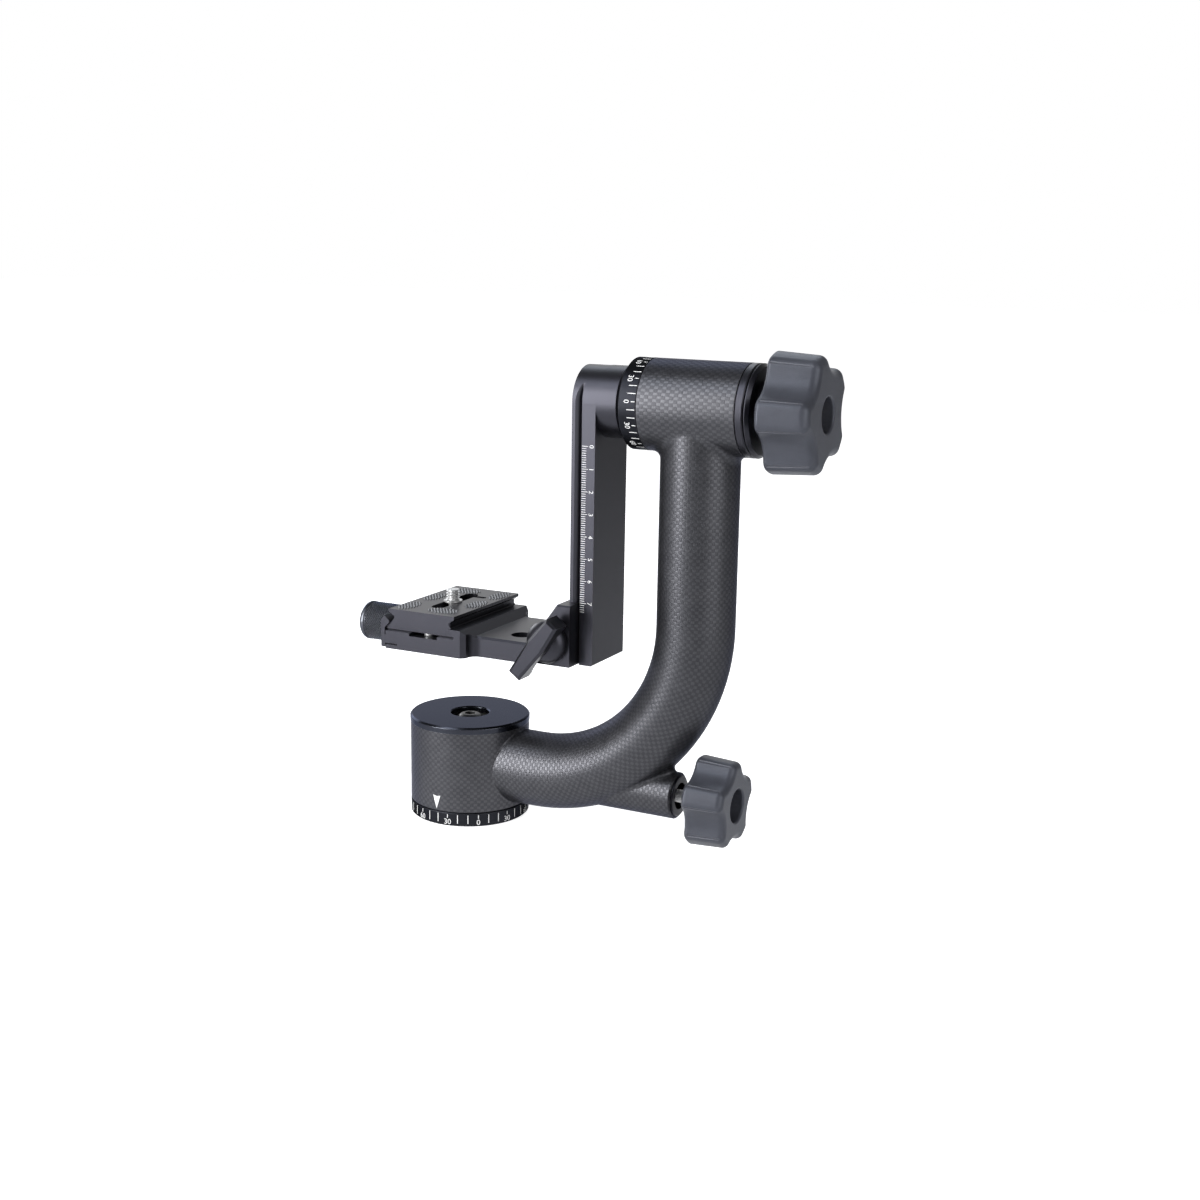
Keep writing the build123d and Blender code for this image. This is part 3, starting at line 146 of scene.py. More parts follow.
class Shader:
    """A material, world or node group under construction."""

    def __init__(self, tree: bpy.types.NodeTree) -> None:
        """Start on a tree."""
        self.tree = tree

    def node(self, kind: str, **settings: object) -> bpy.types.Node:
        """Add a node and set its properties.

        Args:
            kind: the node's type.
            settings: its properties by name.

        Returns:
            The node.
        """
        made = self.tree.nodes.new(kind)
        for key, value in settings.items():
            setattr(made, key, value)
        return made

    def plug(self, value: "Signal | bpy.types.NodeSocket", slot: bpy.types.NodeSocket) -> None:
        """Join a signal or socket to an input."""
        self.tree.links.new(value.socket if isinstance(value, Signal) else value, slot)

    def coordinates(self) -> tuple[Signal, Signal, Signal]:
        """Read the surface point in the object's frame.

        Returns:
            Its x, y and z in millimetres.
        """
        texture = self.node("ShaderNodeTexCoord")
        split = self.node("ShaderNodeSeparateXYZ")
        self.plug(texture.outputs["Object"], split.inputs[0])
        return tuple(Signal(self.tree, out) * (1 / MM) for out in split.outputs)

    def rays(self) -> tuple[Signal, Signal, Signal]:
        """Tell kinds of rays apart.

        Returns:
            Masks of rays from the camera, off glossy surfaces and through clear ones.
        """
        path = self.node("ShaderNodeLightPath")
        kinds = ("Is Camera Ray", "Is Glossy Ray", "Is Transmission Ray")
        return tuple(Signal(self.tree, path.outputs[kind]) for kind in kinds)

    def mix(self, factor: Signal, under: "Colour | bpy.types.NodeSocket",
            over: Colour) -> bpy.types.NodeSocket:
        """A colour between two.

        Args:
            factor: 0 for the first colour, 1 for the second.
            under: the first colour, or the socket that gives it.
            over: the second colour.

        Returns:
            The mixed colour's socket.
        """
        node = self.node("ShaderNodeMix", data_type="RGBA")
        if isinstance(under, bpy.types.NodeSocket):
            self.plug(under, node.inputs["A"])
        else:
            node.inputs["A"].default_value = (*under, 1)
        node.inputs["B"].default_value = (*over, 1)
        self.plug(factor, node.inputs["Factor"])
        return node.outputs["Result"]

    def bump(self, height: Signal, depth: float, base: Signal, strength: float = 1.0) -> bpy.types.NodeSocket:
        """A normal from a height.

        Args:
            height: the height, between 0 and 1.
            depth: its size in millimetres.
            base: the normal under it.
            strength: how much of it shows.

        Returns:
            The normal's socket.
        """
        node = self.node("ShaderNodeBump")
        self.plug(base, node.inputs["Normal"])
        node.inputs["Strength"].default_value = strength
        node.inputs["Distance"].default_value = depth * MM
        self.plug(height, node.inputs["Height"])
        return node.outputs["Normal"]


# ---- effects that the finishes share -------------------------------------------------------------
@dataclass(frozen=True)
class Effect:
    """A shader node group with named inputs and outputs, built once and placed in many materials."""

    name: str
    inputs: tuple[tuple[str, float], ...]
    outputs: tuple[str, ...]
    build: Callable[[Shader, dict[str, Signal]], dict[str, Signal]]

    def tree(self) -> bpy.types.NodeTree:
        """Make the node group, the first time that it is asked for.

        Returns:
            The group's tree.
        """
        tree = bpy.data.node_groups.get(self.name)
        if tree is not None:
            return tree
        tree = bpy.data.node_groups.new(self.name, "ShaderNodeTree")
        for label, default in self.inputs:
            socket = tree.interface.new_socket(name=label, in_out="INPUT", socket_type="NodeSocketFloat")
            socket.default_value = default
        for label in self.outputs:
            kind = "NodeSocketVector" if label == "Normal" else "NodeSocketFloat"
            tree.interface.new_socket(name=label, in_out="OUTPUT", socket_type=kind)
        shader = Shader(tree)
        entry, leave = shader.node("NodeGroupInput"), shader.node("NodeGroupOutput")
        signals = {label: Signal(tree, entry.outputs[label]) for label, _ in self.inputs}
        for label, signal in self.build(shader, signals).items():
            shader.plug(signal, leave.inputs[label])
        return tree

    def place(self, shader: Shader, *values: "Signal | float") -> tuple[Signal, ...]:
        """Put the group in a material.

        Args:
            shader: the material.
            values: a number or signal for each input.

        Returns:
            A signal for each output.
        """
        node = shader.node("ShaderNodeGroup")
        node.node_tree = self.tree()
        for (label, _), value in zip(self.inputs, values):
            if isinstance(value, Signal):
                shader.plug(value, node.inputs[label])
            else:
                node.inputs[label].default_value = value
        return tuple(Signal(shader.tree, node.outputs[label]) for label in self.outputs)


GRAIN_DETAIL, CLOUD_DETAIL = 2.0, 3.0  # octaves of noise
CROWN_RISE = 1.8  # how steeply a tow rises from its side to its flat top
DIVE_RISE, DIVE_FLOOR = 2.0, 0.5  # how steeply it dives at its ends, and how high it stays there
FILAMENTS = 14  # half waves of strands across a tow
EDGE_CONTRAST = 5.0  # how soon a turned normal counts as an edge
SHADING_SAMPLES = 6  # rays for each edge or hollow


def surface_grain(shader: Shader, values: dict[str, Signal]) -> dict[str, Signal]:
    """Fine grain and slow clouding: the even mottle of a blasted, moulded or rubbed surface.

    Args:
        shader: the group under construction.
        values: its inputs by name.

    Returns:
        Its outputs by name.
    """
    texture = shader.node("ShaderNodeTexCoord")
    made = {}
    for label, size, detail in (("Grain", values["Grain size"], GRAIN_DETAIL),
                                ("Cloud", values["Cloud size"], CLOUD_DETAIL)):
        noise = shader.node("ShaderNodeTexNoise")
        noise.inputs["Detail"].default_value = detail
        shader.plug(texture.outputs["Object"], noise.inputs["Vector"])
        shader.plug(size.math("DIVIDE", 1 / MM, swapped=True), noise.inputs["Scale"])
        made[label] = Signal(shader.tree, noise.outputs["Fac"])
    return made


def woven_tows(shader: Shader, values: dict[str, Signal]) -> dict[str, Signal]:
    """Plain weave of flat tows: which tow is on top, how high it stands, and its filaments.

    Args:
        shader: the group under construction.
        values: its inputs by name.

    Returns:
        Its outputs by name.
    """
    across, along = values["Across"], values["Along"]
    cell = across.math("FLOOR") + along.math("FLOOR")
    warp = (cell * 0.5).math("FRACT") * 2
    part_across, part_along = across.math("FRACT"), along.math("FRACT")
    width = warp.choose(part_along, part_across)
    run = warp.choose(part_across, part_along)
    crown = ((width * math.pi).math("SINE") * CROWN_RISE).at_most(1.0)
    dive = ((run * math.pi).math("SINE") * DIVE_RISE + DIVE_FLOOR).at_most(1.0)
    strands = (width * (FILAMENTS * math.pi)).math("SINE") * 0.5 + 0.5
    return {"Warp": warp, "Height": crown * dive, "Filament": strands}


def eased_edges(shader: Shader, values: dict[str, Signal]) -> dict[str, Signal]:
    """The normal of a surface whose sharp edges are broken, and a mask of those edges.

    Args:
        shader: the group under construction.
        values: its inputs by name.

    Returns:
        Its outputs by name.
    """
    eased = shader.node("ShaderNodeBevel", samples=SHADING_SAMPLES)
    shader.plug(values["Radius"] * MM, eased.inputs["Radius"])
    compare = shader.node("ShaderNodeVectorMath", operation="DOT_PRODUCT")
    shader.plug(eased.outputs[0], compare.inputs[0])
    shader.plug(shader.node("ShaderNodeNewGeometry").outputs["Normal"], compare.inputs[1])
    turned = 1 - Signal(shader.tree, compare.outputs["Value"])
    return {"Normal": Signal(shader.tree, eased.outputs[0]), "Edge": (turned * EDGE_CONTRAST).at_most(1.0)}


def hollow_shade(shader: Shader, values: dict[str, Signal]) -> dict[str, Signal]:
    """A mask of the piece's own grooves and corners, for shade painted into the colour where little light
    gets in.

    Args:
        shader: the group under construction.
        values: its inputs by name.

    Returns:
        Its outputs by name.
    """
    open_sky = shader.node("ShaderNodeAmbientOcclusion", samples=SHADING_SAMPLES, only_local=True)
    shader.plug(values["Reach"] * MM, open_sky.inputs["Distance"])
    return {"Hollow": (1 - Signal(shader.tree, open_sky.outputs["AO"])) * values["Strength"]}


SURFACE_GRAIN = Effect("surface_grain", (("Grain size", 0.3), ("Cloud size", 12.0)), ("Grain", "Cloud"),
                       surface_grain)
WOVEN_TOWS = Effect("woven_tows", (("Across", 0.0), ("Along", 0.0)), ("Warp", "Height", "Filament"),
                    woven_tows)
EASED_EDGES = Effect("eased_edges", (("Radius", 0.3),), ("Normal", "Edge"), eased_edges)
HOLLOW_SHADE = Effect("hollow_shade", (("Reach", 0.6), ("Strength", 1.0)), ("Hollow",), hollow_shade)


# ---- finishes ------------------------------------------------------------------------------------
def new_material(name: str) -> tuple[bpy.types.Material, Shader, bpy.types.Node]:
    """Start a node material.

    Args:
        name: the material's name.

    Returns:
        The material, its shader builder and its Principled BSDF.
    """
    material = bpy.data.materials.new(name)
    material.use_nodes = True
    return material, Shader(material.node_tree), material.node_tree.nodes["Principled BSDF"]


@dataclass(frozen=True)
class PlainFinish:
    """A surface of one substance, with grain, clouding, a fine relief, eased edges lightened by wear and
    painted highlight, and hollows darkened with painted shade.
    """

    name: str
    dark: Colour
    light: Colour
    rough: Pair
    metallic: float = 0.0
    grain_mm: float = 0.25
    cloud_mm: float = 9.0
    relief_mm: float = 0.01
    specular: float = 0.5
    edge_tint: Colour = (1, 1, 1)
    edge_mm: float = 0.35
    # edges lightened in colour: partly wear, partly a painted highlight on the eased edges and crests
    edge_wear_and_highlight: float = 0.0
    edge_wear_and_highlight_colour: Colour = (0.3, 0.3, 0.32)
    # hollow_mm, hollow and the colour below darken the piece's own grooves and corners: painted shade
    hollow_mm: float = 0.6
    hollow: float = 0.8
    painted_shade_colour: Colour = (0.004, 0.004, 0.005)
    speck_share: float = 0.5
    cloud_share: float = 0.9
    tone_floor: float = 0.2

    def build(self) -> bpy.types.Material:
        """Make the material.

        Returns:
            The material.
        """
        material, shader, bsdf = new_material(self.name)
        speck, cloud = SURFACE_GRAIN.place(shader, self.grain_mm, self.cloud_mm)
        normal, edge = EASED_EDGES.place(shader, self.edge_mm)
        hollow, = HOLLOW_SHADE.place(shader, self.hollow_mm, self.hollow)
        tone = weigh((speck, self.speck_share), (cloud, self.cloud_share)) - self.tone_floor
        plain = shader.mix(tone.at_least(0.0), self.dark, self.light)
        # edges mixed towards a lighter colour, partly wear and partly painted highlight
        worn_and_highlit = shader.mix(edge * self.edge_wear_and_highlight, plain, self.edge_wear_and_highlight_colour)
        # painted shade: the piece's own grooves and corners are mixed towards a near-black colour
        shader.plug(shader.mix(hollow, worn_and_highlit, self.painted_shade_colour), bsdf.inputs["Base Color"])
        low, high = self.rough
        shader.plug(cloud * (high - low) + low, bsdf.inputs["Roughness"])
        shader.plug(shader.bump(speck, self.relief_mm, normal), bsdf.inputs["Normal"])
        bsdf.inputs["Metallic"].default_value = self.metallic
        bsdf.inputs["Specular IOR Level"].default_value = self.specular
        bsdf.inputs["Specular Tint"].default_value = (*self.edge_tint, 1)
        return material


@dataclass(frozen=True)
class WovenCarbon:
    """Satin carbon cloth that follows the arm's runs, bend and round bodies.

    A body's own cloth reaches to skin outside its radius. The housing's begins housing_lift above the
    bend, and the lock boss's beyond boss_x. The shares mix weft, filament, speck and cloud into the
    tone, warp and cloud into the roughness, and height, filament and speck into the relief.
    """

    name: str = "woven_carbon"
    tow: float = 1.6
    pick: float = 1.42
    housing_tow: float = 1.45
    housing_pick: float = 1.95
    tube_r: float = 17.5
    base_r: float = 28.25
    housing_r: float = 20.1
    boss_r: float = 10.6
    skin: float = 0.15
    bend_r: float = 78.0
    upright_x: float = 116.0
    run_z: float = 25.5
    tilt_z: float = 200.2
    lock_z: float = 24.3
    housing_lift: float = 20.0
    boss_x: float = 60.0
    dark: Colour = (0.024, 0.0245, 0.028)
    light: Colour = (0.125, 0.125, 0.134)
    speck_mm: float = 0.5
    cloud_mm: float = 6.0
    edge_mm: float = 0.5
    tone_shares: tuple[float, ...] = (0.18, 0.04, 0.3, 0.2)
    tone_floor: float = 0.01
    rough: float = 0.27
    rough_shares: Pair = (0.06, 0.12)
    relief_mm: float = 0.045
    relief_shares: Triple = (0.7, 0.05, 0.25)
    relief_strength: float = 0.9
    metallic: float = 0.8
    specular: float = 0.3
    edge_tint: Colour = (0.37, 0.38, 0.45)

    @staticmethod
    def cells(radius: float, tow: float) -> float:
        """Tows of that width round a tube of that radius, an even number, per radian."""
        return 2 * round(math.pi * radius / tow) / (2 * math.pi)

    def cloth(self, shader: Shader) -> tuple[Signal, Signal]:
        """Cell numbers across and along the cloth, for each part of the arm.

        Args:
            shader: the material.

        Returns:
            The two cell coordinates.
        """
        x, y, z = shader.coordinates()
        bend_x, bend_z = self.upright_x - self.bend_r, self.run_z + self.bend_r
        lift, reach = z - bend_z, x - bend_x
        up, flat = 1 - lift.below(0), reach.below(0)
        offset = up.choose(flat.choose(lift.hypot(reach) - self.bend_r, self.run_z - z), x - self.upright_x)
        arc = reach.angle(bend_z - z) * self.bend_r
        length = up.choose(flat.choose(arc, reach), lift + self.bend_r * math.pi / 2)
        across = y.angle(offset) * self.cells(self.tube_r, self.tow)
        along = length * (1 / self.pick)
        from_tilt, from_lock = z - self.tilt_z, z - self.lock_z
        on_base = x.hypot(y).below(self.base_r + self.skin)
        high_up, far_out = 1 - lift.below(self.housing_lift), 1 - x.below(self.boss_x)
        on_housing = y.hypot(from_tilt).below(self.housing_r + self.skin) * high_up
        on_boss = y.hypot(from_lock).below(self.boss_r + self.skin) * far_out
        for mask, turn, radius, axial in ((on_base, y.angle(x), self.base_r, z),
                                          (on_boss, y.angle(from_lock), self.boss_r, x)):
            across = mask.choose(across, turn * self.cells(radius, self.tow))
            along = mask.choose(along, axial * (1 / self.pick))
        across = on_housing.choose(across, x * (1 / self.housing_pick))
        along = on_housing.choose(along, y.angle(from_tilt) * self.cells(self.housing_r, self.housing_tow))
        return across, along

    def build(self) -> bpy.types.Material:
        """Make the material.

        Returns:
            The material.
        """
        material, shader, bsdf = new_material(self.name)
        warp, height, filament = WOVEN_TOWS.place(shader, *self.cloth(shader))
        speck, cloud = SURFACE_GRAIN.place(shader, self.speck_mm, self.cloud_mm)
        normal, _ = EASED_EDGES.place(shader, self.edge_mm)
        weft = (1 - warp) * height
        tone = weigh(*zip((weft, filament, speck, cloud), self.tone_shares)) - self.tone_floor
        shader.plug(shader.mix(tone.at_least(0.0), self.dark, self.light), bsdf.inputs["Base Color"])
        shader.plug(weigh(*zip((warp, cloud), self.rough_shares)) + self.rough, bsdf.inputs["Roughness"])
        relief = weigh(*zip((height, filament, speck), self.relief_shares))
        shader.plug(shader.bump(relief, self.relief_mm, normal, self.relief_strength), bsdf.inputs["Normal"])
        bsdf.inputs["Metallic"].default_value = self.metallic
        bsdf.inputs["Specular IOR Level"].default_value = self.specular
        bsdf.inputs["Specular Tint"].default_value = (*self.edge_tint, 1)
        return material


class Finish(Enum):
    """Every finish on the head."""

    CARBON = WovenCarbon()
    ANODISED = PlainFinish("black_anodised", (0.031, 0.0325, 0.038), (0.053, 0.055, 0.064), (0.32, 0.42),
                           metallic=1.0, grain_mm=0.22, cloud_mm=14, relief_mm=0.006, specular=0.2,
                           edge_tint=(0.11, 0.135, 0.23), edge_wear_and_highlight=0.55, edge_wear_and_highlight_colour=(0.24, 0.25, 0.27))
    KNURLED = PlainFinish("knurled_anodised", (0.075, 0.078, 0.09), (0.115, 0.12, 0.135), (0.26, 0.34),
                          metallic=1.0, grain_mm=0.22, cloud_mm=9, relief_mm=0.004, specular=0.2,
                          edge_tint=(0.3, 0.32, 0.38), edge_mm=0.07, edge_wear_and_highlight=0.9,
                          edge_wear_and_highlight_colour=(0.26, 0.27, 0.29), hollow=1.0, hollow_mm=0.5)
    POLISHED = PlainFinish("polished_anodised", (0.026, 0.028, 0.036), (0.044, 0.047, 0.058), (0.2, 0.27),
                           metallic=1.0, grain_mm=0.22, cloud_mm=14, relief_mm=0.003, specular=0.2,
                           edge_tint=(0.54, 0.555, 0.62), edge_wear_and_highlight=0.5, edge_wear_and_highlight_colour=(0.24, 0.25, 0.27))
    DIAL_BLACK = PlainFinish("dial_black", (0.011, 0.0115, 0.014), (0.02, 0.021, 0.025), (0.34, 0.44),
                             metallic=0.9, grain_mm=0.22, cloud_mm=10, relief_mm=0.005, specular=0.2,
                             edge_tint=(0.2, 0.22, 0.28), edge_wear_and_highlight=0.4, edge_wear_and_highlight_colour=(0.2, 0.2, 0.22))
    POLYMER = PlainFinish("knob_polymer", (0.036, 0.038, 0.047), (0.062, 0.065, 0.079), (0.33, 0.42),
                          metallic=0.15, grain_mm=0.4, cloud_mm=10, relief_mm=0.05, specular=0.45,
                          edge_tint=(0.6, 0.63, 0.7), edge_mm=0.6, edge_wear_and_highlight=0.8,
                          edge_wear_and_highlight_colour=(0.2, 0.2, 0.22))
    STEEL = PlainFinish("bright_steel", (0.6, 0.58, 0.56), (0.8, 0.78, 0.75), (0.14, 0.24),
                        metallic=1.0, grain_mm=0.3, cloud_mm=4, relief_mm=0.004, hollow=2.2,
                        hollow_mm=0.9, edge_mm=0.08)
    BLACK_STEEL = PlainFinish("black_oxide_steel", (0.03, 0.03, 0.032), (0.07, 0.07, 0.072), (0.3, 0.42),
                              metallic=0.8, grain_mm=0.2, cloud_mm=5, relief_mm=0.005)
    GROUND_STEEL = PlainFinish("ground_steel", (0.5, 0.5, 0.51), (0.66, 0.66, 0.67), (0.2, 0.3),
                               metallic=1.0, grain_mm=0.2, cloud_mm=5, relief_mm=0.003)
    BRASS = PlainFinish("turned_brass", (0.55, 0.38, 0.16), (0.75, 0.56, 0.27), (0.24, 0.36),
                        metallic=1.0, grain_mm=0.3, cloud_mm=5, relief_mm=0.005)
    RUBBER = PlainFinish("pad_rubber", (0.085, 0.088, 0.1), (0.13, 0.134, 0.148), (0.5, 0.65),
                         grain_mm=0.3, cloud_mm=4, relief_mm=0.01, specular=0.4, hollow=3.0,
                         hollow_mm=0.5, edge_mm=0.06, edge_wear_and_highlight=0.9)
    NYLON = PlainFinish("brake_nylon", (0.62, 0.6, 0.53), (0.78, 0.76, 0.7), (0.4, 0.5),
                        grain_mm=0.4, cloud_mm=5, relief_mm=0.01)
    LINING = PlainFinish("friction_lining", (0.12, 0.09, 0.06), (0.3, 0.24, 0.17), (0.7, 0.85),
                         grain_mm=0.35, cloud_mm=3, relief_mm=0.03)
    PRINT = PlainFinish("white_print", (0.8, 0.8, 0.8), (0.95, 0.95, 0.94), (0.5, 0.6),
                        grain_mm=0.2, cloud_mm=2, relief_mm=0.003, hollow=0.0)

    def material(self) -> bpy.types.Material:
        """The finish's material, made the first time it is asked for."""
        return bpy.data.materials.get(self.value.name) or self.value.build()


NODE_FINISHES: dict[Finish, tuple[str, ...]] = {
    Finish.CARBON: ("arm_shell",),
    Finish.POLISHED: ("top_cap",),
    Finish.DIAL_BLACK: ("pan_base", "tilt_dial"),
    Finish.ANODISED: ("pan_spindle", "pan_liner", "tilt_liner", "housing_ring", "lock_plug", "swing_bar",
                      "tilt_spacer", "clamp_collar", "platform_bracket", "rail_jaw", "rail_lever",
                      "clamp_jaw", "clamp_knob", "quick_plate"),
    Finish.POLYMER: ("pan_knob", "tilt_knob"),
    Finish.STEEL: ("thread_insert", "spindle_screws", "preload_washer", "brake_rod", "pan_knob_stud",
                   "tilt_spindle", "bar_stop_screw", "guide_pins", "plate_stop_pin", "jaw_springs",
                   "lever_stud", "clamp_stud", "plate_stop_screws", "screw_washer", "camera_screw"),
    Finish.BLACK_STEEL: ("retaining_bolt", "bar_screws"),
    Finish.GROUND_STEEL: ("pan_bearing_lower", "pan_bearing_upper", "tilt_bearing_inner",
                          "tilt_bearing_outer"),
    Finish.BRASS: ("tilt_knob_nut",),
    Finish.RUBBER: ("grip_pads",),
    Finish.NYLON: ("brake_pad",),
    Finish.LINING: ("friction_lining",),
}


def dress_nodes() -> None:
    """Give every carried-over node its finish."""
    for finish, names in NODE_FINISHES.items():
        for name in names:
            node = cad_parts[name]
            node.data.materials.clear()
            node.data.materials.append(finish.material())
            log.info("dressed %s in %s", name, finish.value.name)


# ---- workshop ------------------------------------------------------------------------------------
MERGE_DISTANCE = 1e-4
LEVEL = 0.01  # points this near to a height or radius count as being on it
FONT_PER_HEIGHT = 1.38  # font size that gives figures one unit high
FONT_STEPS = 3  # straight pieces in each curve of a figure
PRINT_LIFT = 0.02  # from a surface to the middle of its print
PRINT_HALF = 0.03  # from that middle to either side


class Workpiece:
    """A bmesh in millimetres, and the finished object that it becomes."""

    def __init__(self, name: str) -> None:
        """Start an empty mesh."""
        self.name = name
        self.mesh = bmesh.new()

    def lathe(self, profile: Sequence[Vector], centre: Vector, axis: Vector, steps: int) -> None:
        """Turn a profile once round an axis.

        Args:
            profile: points of the profile, in order.
            centre: a point on the axis.
            axis: the axis's direction.
            steps: segments round the axis.
        """
        verts = [self.mesh.verts.new(point) for point in profile]
        edges = [self.mesh.edges.new(pair) for pair in zip(verts, verts[1:])]
        bmesh.ops.spin(self.mesh, geom=verts + edges, cent=centre, axis=axis, dvec=(0, 0, 0),
                       angle=2 * math.pi, steps=steps, use_merge=True, use_duplicate=False)
        self.tidy()

    def tidy(self) -> None:
        """Merge doubled points and turn every face outwards."""
        bmesh.ops.remove_doubles(self.mesh, verts=self.mesh.verts[:], dist=MERGE_DISTANCE)
        bmesh.ops.recalc_face_normals(self.mesh, faces=self.mesh.faces[:])

    def divide(self, point: Triple, normal: Triple) -> None:
        """Cut the faces that a plane crosses in two, and keep both sides."""
        whole = self.mesh.verts[:] + self.mesh.edges[:] + self.mesh.faces[:]
        bmesh.ops.bisect_plane(self.mesh, geom=whole, plane_co=point, plane_no=normal)

    def pull(self, faces: list[bmesh.types.BMFace], move: Triple) -> None:
        """Extrude faces, and leave the old ones where they are.

        Args:
            faces: the faces.
            move: how far and which way they go.
        """
        made = bmesh.ops.extrude_face_region(self.mesh, geom=faces)["geom"]
        verts = [item for item in made if isinstance(item, bmesh.types.BMVert)]
        bmesh.ops.translate(self.mesh, vec=move, verts=verts)

    def block(self, low: Triple, high: Triple, lay: Laying = Vector.copy) -> None:
        """Add a box.

        Args:
            low: its lowest corner.
            high: its highest corner.
            lay: puts each of its points in place.
        """
        size = Vector(high) - Vector(low)
        verts = bmesh.ops.create_cube(self.mesh, size=1.0)["verts"]
        bmesh.ops.scale(self.mesh, vec=size, verts=verts)
        bmesh.ops.translate(self.mesh, vec=Vector(low) + size / 2, verts=verts)
        for vert in verts:
            vert.co = lay(vert.co)

    def word(self, text: str, height: float, lay: Laying) -> None:
        """Add raised figures.

        Args:
            text: the figures.
            height: height of a figure.
            lay: puts each point, given as (right, up, out), in place.
        """
        curve = bpy.data.curves.new(self.name, "FONT")
        curve.body, curve.size, curve.extrude = text, height * FONT_PER_HEIGHT, PRINT_HALF
        curve.align_x, curve.align_y, curve.resolution_u = "CENTER", "CENTER", FONT_STEPS
        holder = bpy.data.objects.new(self.name, curve)
        flat = bpy.data.meshes.new_from_object(holder)
        bpy.data.objects.remove(holder)
        bpy.data.curves.remove(curve)
        before = len(self.mesh.verts)
        self.mesh.from_mesh(flat)
        bpy.data.meshes.remove(flat)
        self.mesh.verts.ensure_lookup_table()
        for vert in self.mesh.verts[before:]:
            vert.co = lay(vert.co)

    def finish(self, finish: Finish, body: str, smooth: float = 35.0) -> bpy.types.Object:
        """Turn the bmesh into an object that rides on a body.

        Args:
            finish: its finish.
            body: the body that carries it.
            smooth: edges flatter than this many degrees are shaded smooth.

        Returns:
            The object, at the origin, in metres.
        """
        bmesh.ops.scale(self.mesh, vec=(MM, MM, MM), verts=self.mesh.verts[:])
        for face in self.mesh.faces:
            face.smooth = True
        for edge in self.mesh.edges:
            edge.smooth = len(edge.link_faces) != 2 or edge.calc_face_angle(0.0) < math.radians(smooth)
        data = bpy.data.meshes.new(self.name)
        self.mesh.to_mesh(data)
        self.mesh.free()
        data.materials.append(finish.material())
        made = bpy.data.objects.new(self.name, data)
        bpy.context.scene.collection.objects.link(made)
        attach(made, body)
        log.info("made %s on %s with %d faces", self.name, body, len(data.polygons))
        return made


def ramp(start: float, end: float, count: int) -> list[float]:
    """Evenly spaced numbers from start to end, both kept."""
    return [start + (end - start) * i / count for i in range(count + 1)]


def wave(position: float, pitch: float) -> float:
    """Height, 0 to 1, of a triangular ridge that repeats at each pitch."""
    return 1 - abs(2 * (position / pitch % 1.0) - 1)


@dataclass
class Thread:
    """A cut screw thread on a cylinder."""

    pitch: float
    depth: float
    start: float
    end: float

    def cut(self, mesh: bmesh.types.BMesh, centre: Vector, axis: Vector, side: Vector, crest: float) -> None:
        """Press the groove into a fine cylinder.

        Args:
            mesh: the mesh, with rows close together along the axis.
            centre: a point on the axis, from which start and end are measured.
            axis: unit direction of the axis.
            side: unit direction from which turns are counted.
            crest: radius of the plain cylinder.
        """
        other = axis.cross(side)
        for vert in mesh.verts:
            arm = vert.co - centre
            run = arm.dot(axis)
            radial = arm - axis * run
            if abs(radial.length - crest) > 2 * LEVEL or not self.start <= run <= self.end:
                continue
            turn = math.atan2(radial.dot(other), radial.dot(side)) / (2 * math.pi)
            fade = min(1.0, 2 * (run - self.start) / self.pitch, 2 * (self.end - run) / self.pitch)
            dip = 0.5 - 0.5 * math.cos(2 * math.pi * (run / self.pitch - turn))
            vert.co = centre + axis * run + radial.normalized() * (crest - self.depth * fade * dip)


# ---- printed scales ------------------------------------------------------------------------------
@dataclass
class DegreeScale:
    """Degrees printed round a dial: a tick at each step, and figures that count up to 180 both ways.

    The sense is 1 where the print runs with the angle and -1 where it runs against it.
    """

    name: str
    body: str
    radius: float
    zero_deg: float
    tick_at: float
    long_tick: float
    short_tick: float
    tick_width: float
    figure: float
    figure_at: float
    sense: int = 1
    step_deg: int = 10
    figure_deg: int = 30
    sunk: float = 0.04

    def point(self, turn: float, reach: float, along: float) -> Vector:
        """A point at an angle round the dial's axis, at a distance from it and a place along it."""
        raise NotImplementedError

    def wrap(self, degrees: float, place: float) -> Laying:
        """A function that lays flat print round the dial.

        Args:
            degrees: where the print's middle is, round the dial's axis.
            place: where its middle is along the axis.

        Returns:
            The function, from (right, up, out) to the frame.
        """
        def lay(flat: Vector) -> Vector:
            """Put one point in place."""
            turn = math.radians(degrees) + self.sense * flat.x / self.radius
            return self.point(turn, self.radius + PRINT_LIFT + flat.z, place + flat.y)
        return lay

    def build_degrees(self) -> None:
        """Print the ticks and the figures."""
        piece = Workpiece(self.name)
        half = self.tick_width / 2
        for degrees in range(0, 360, self.step_deg):
            numbered = degrees % self.figure_deg == 0
            length = self.short_tick if numbered else self.long_tick
            turned = self.zero_deg + degrees
            piece.block((-half, -length, -self.sunk), (half, 0, PRINT_HALF), self.wrap(turned, self.tick_at))
            if numbered:
                label = min(degrees, 360 - degrees)
                piece.word(str(label), self.figure, self.wrap(turned, self.figure_at))
        piece.finish(Finish.PRINT, self.body)


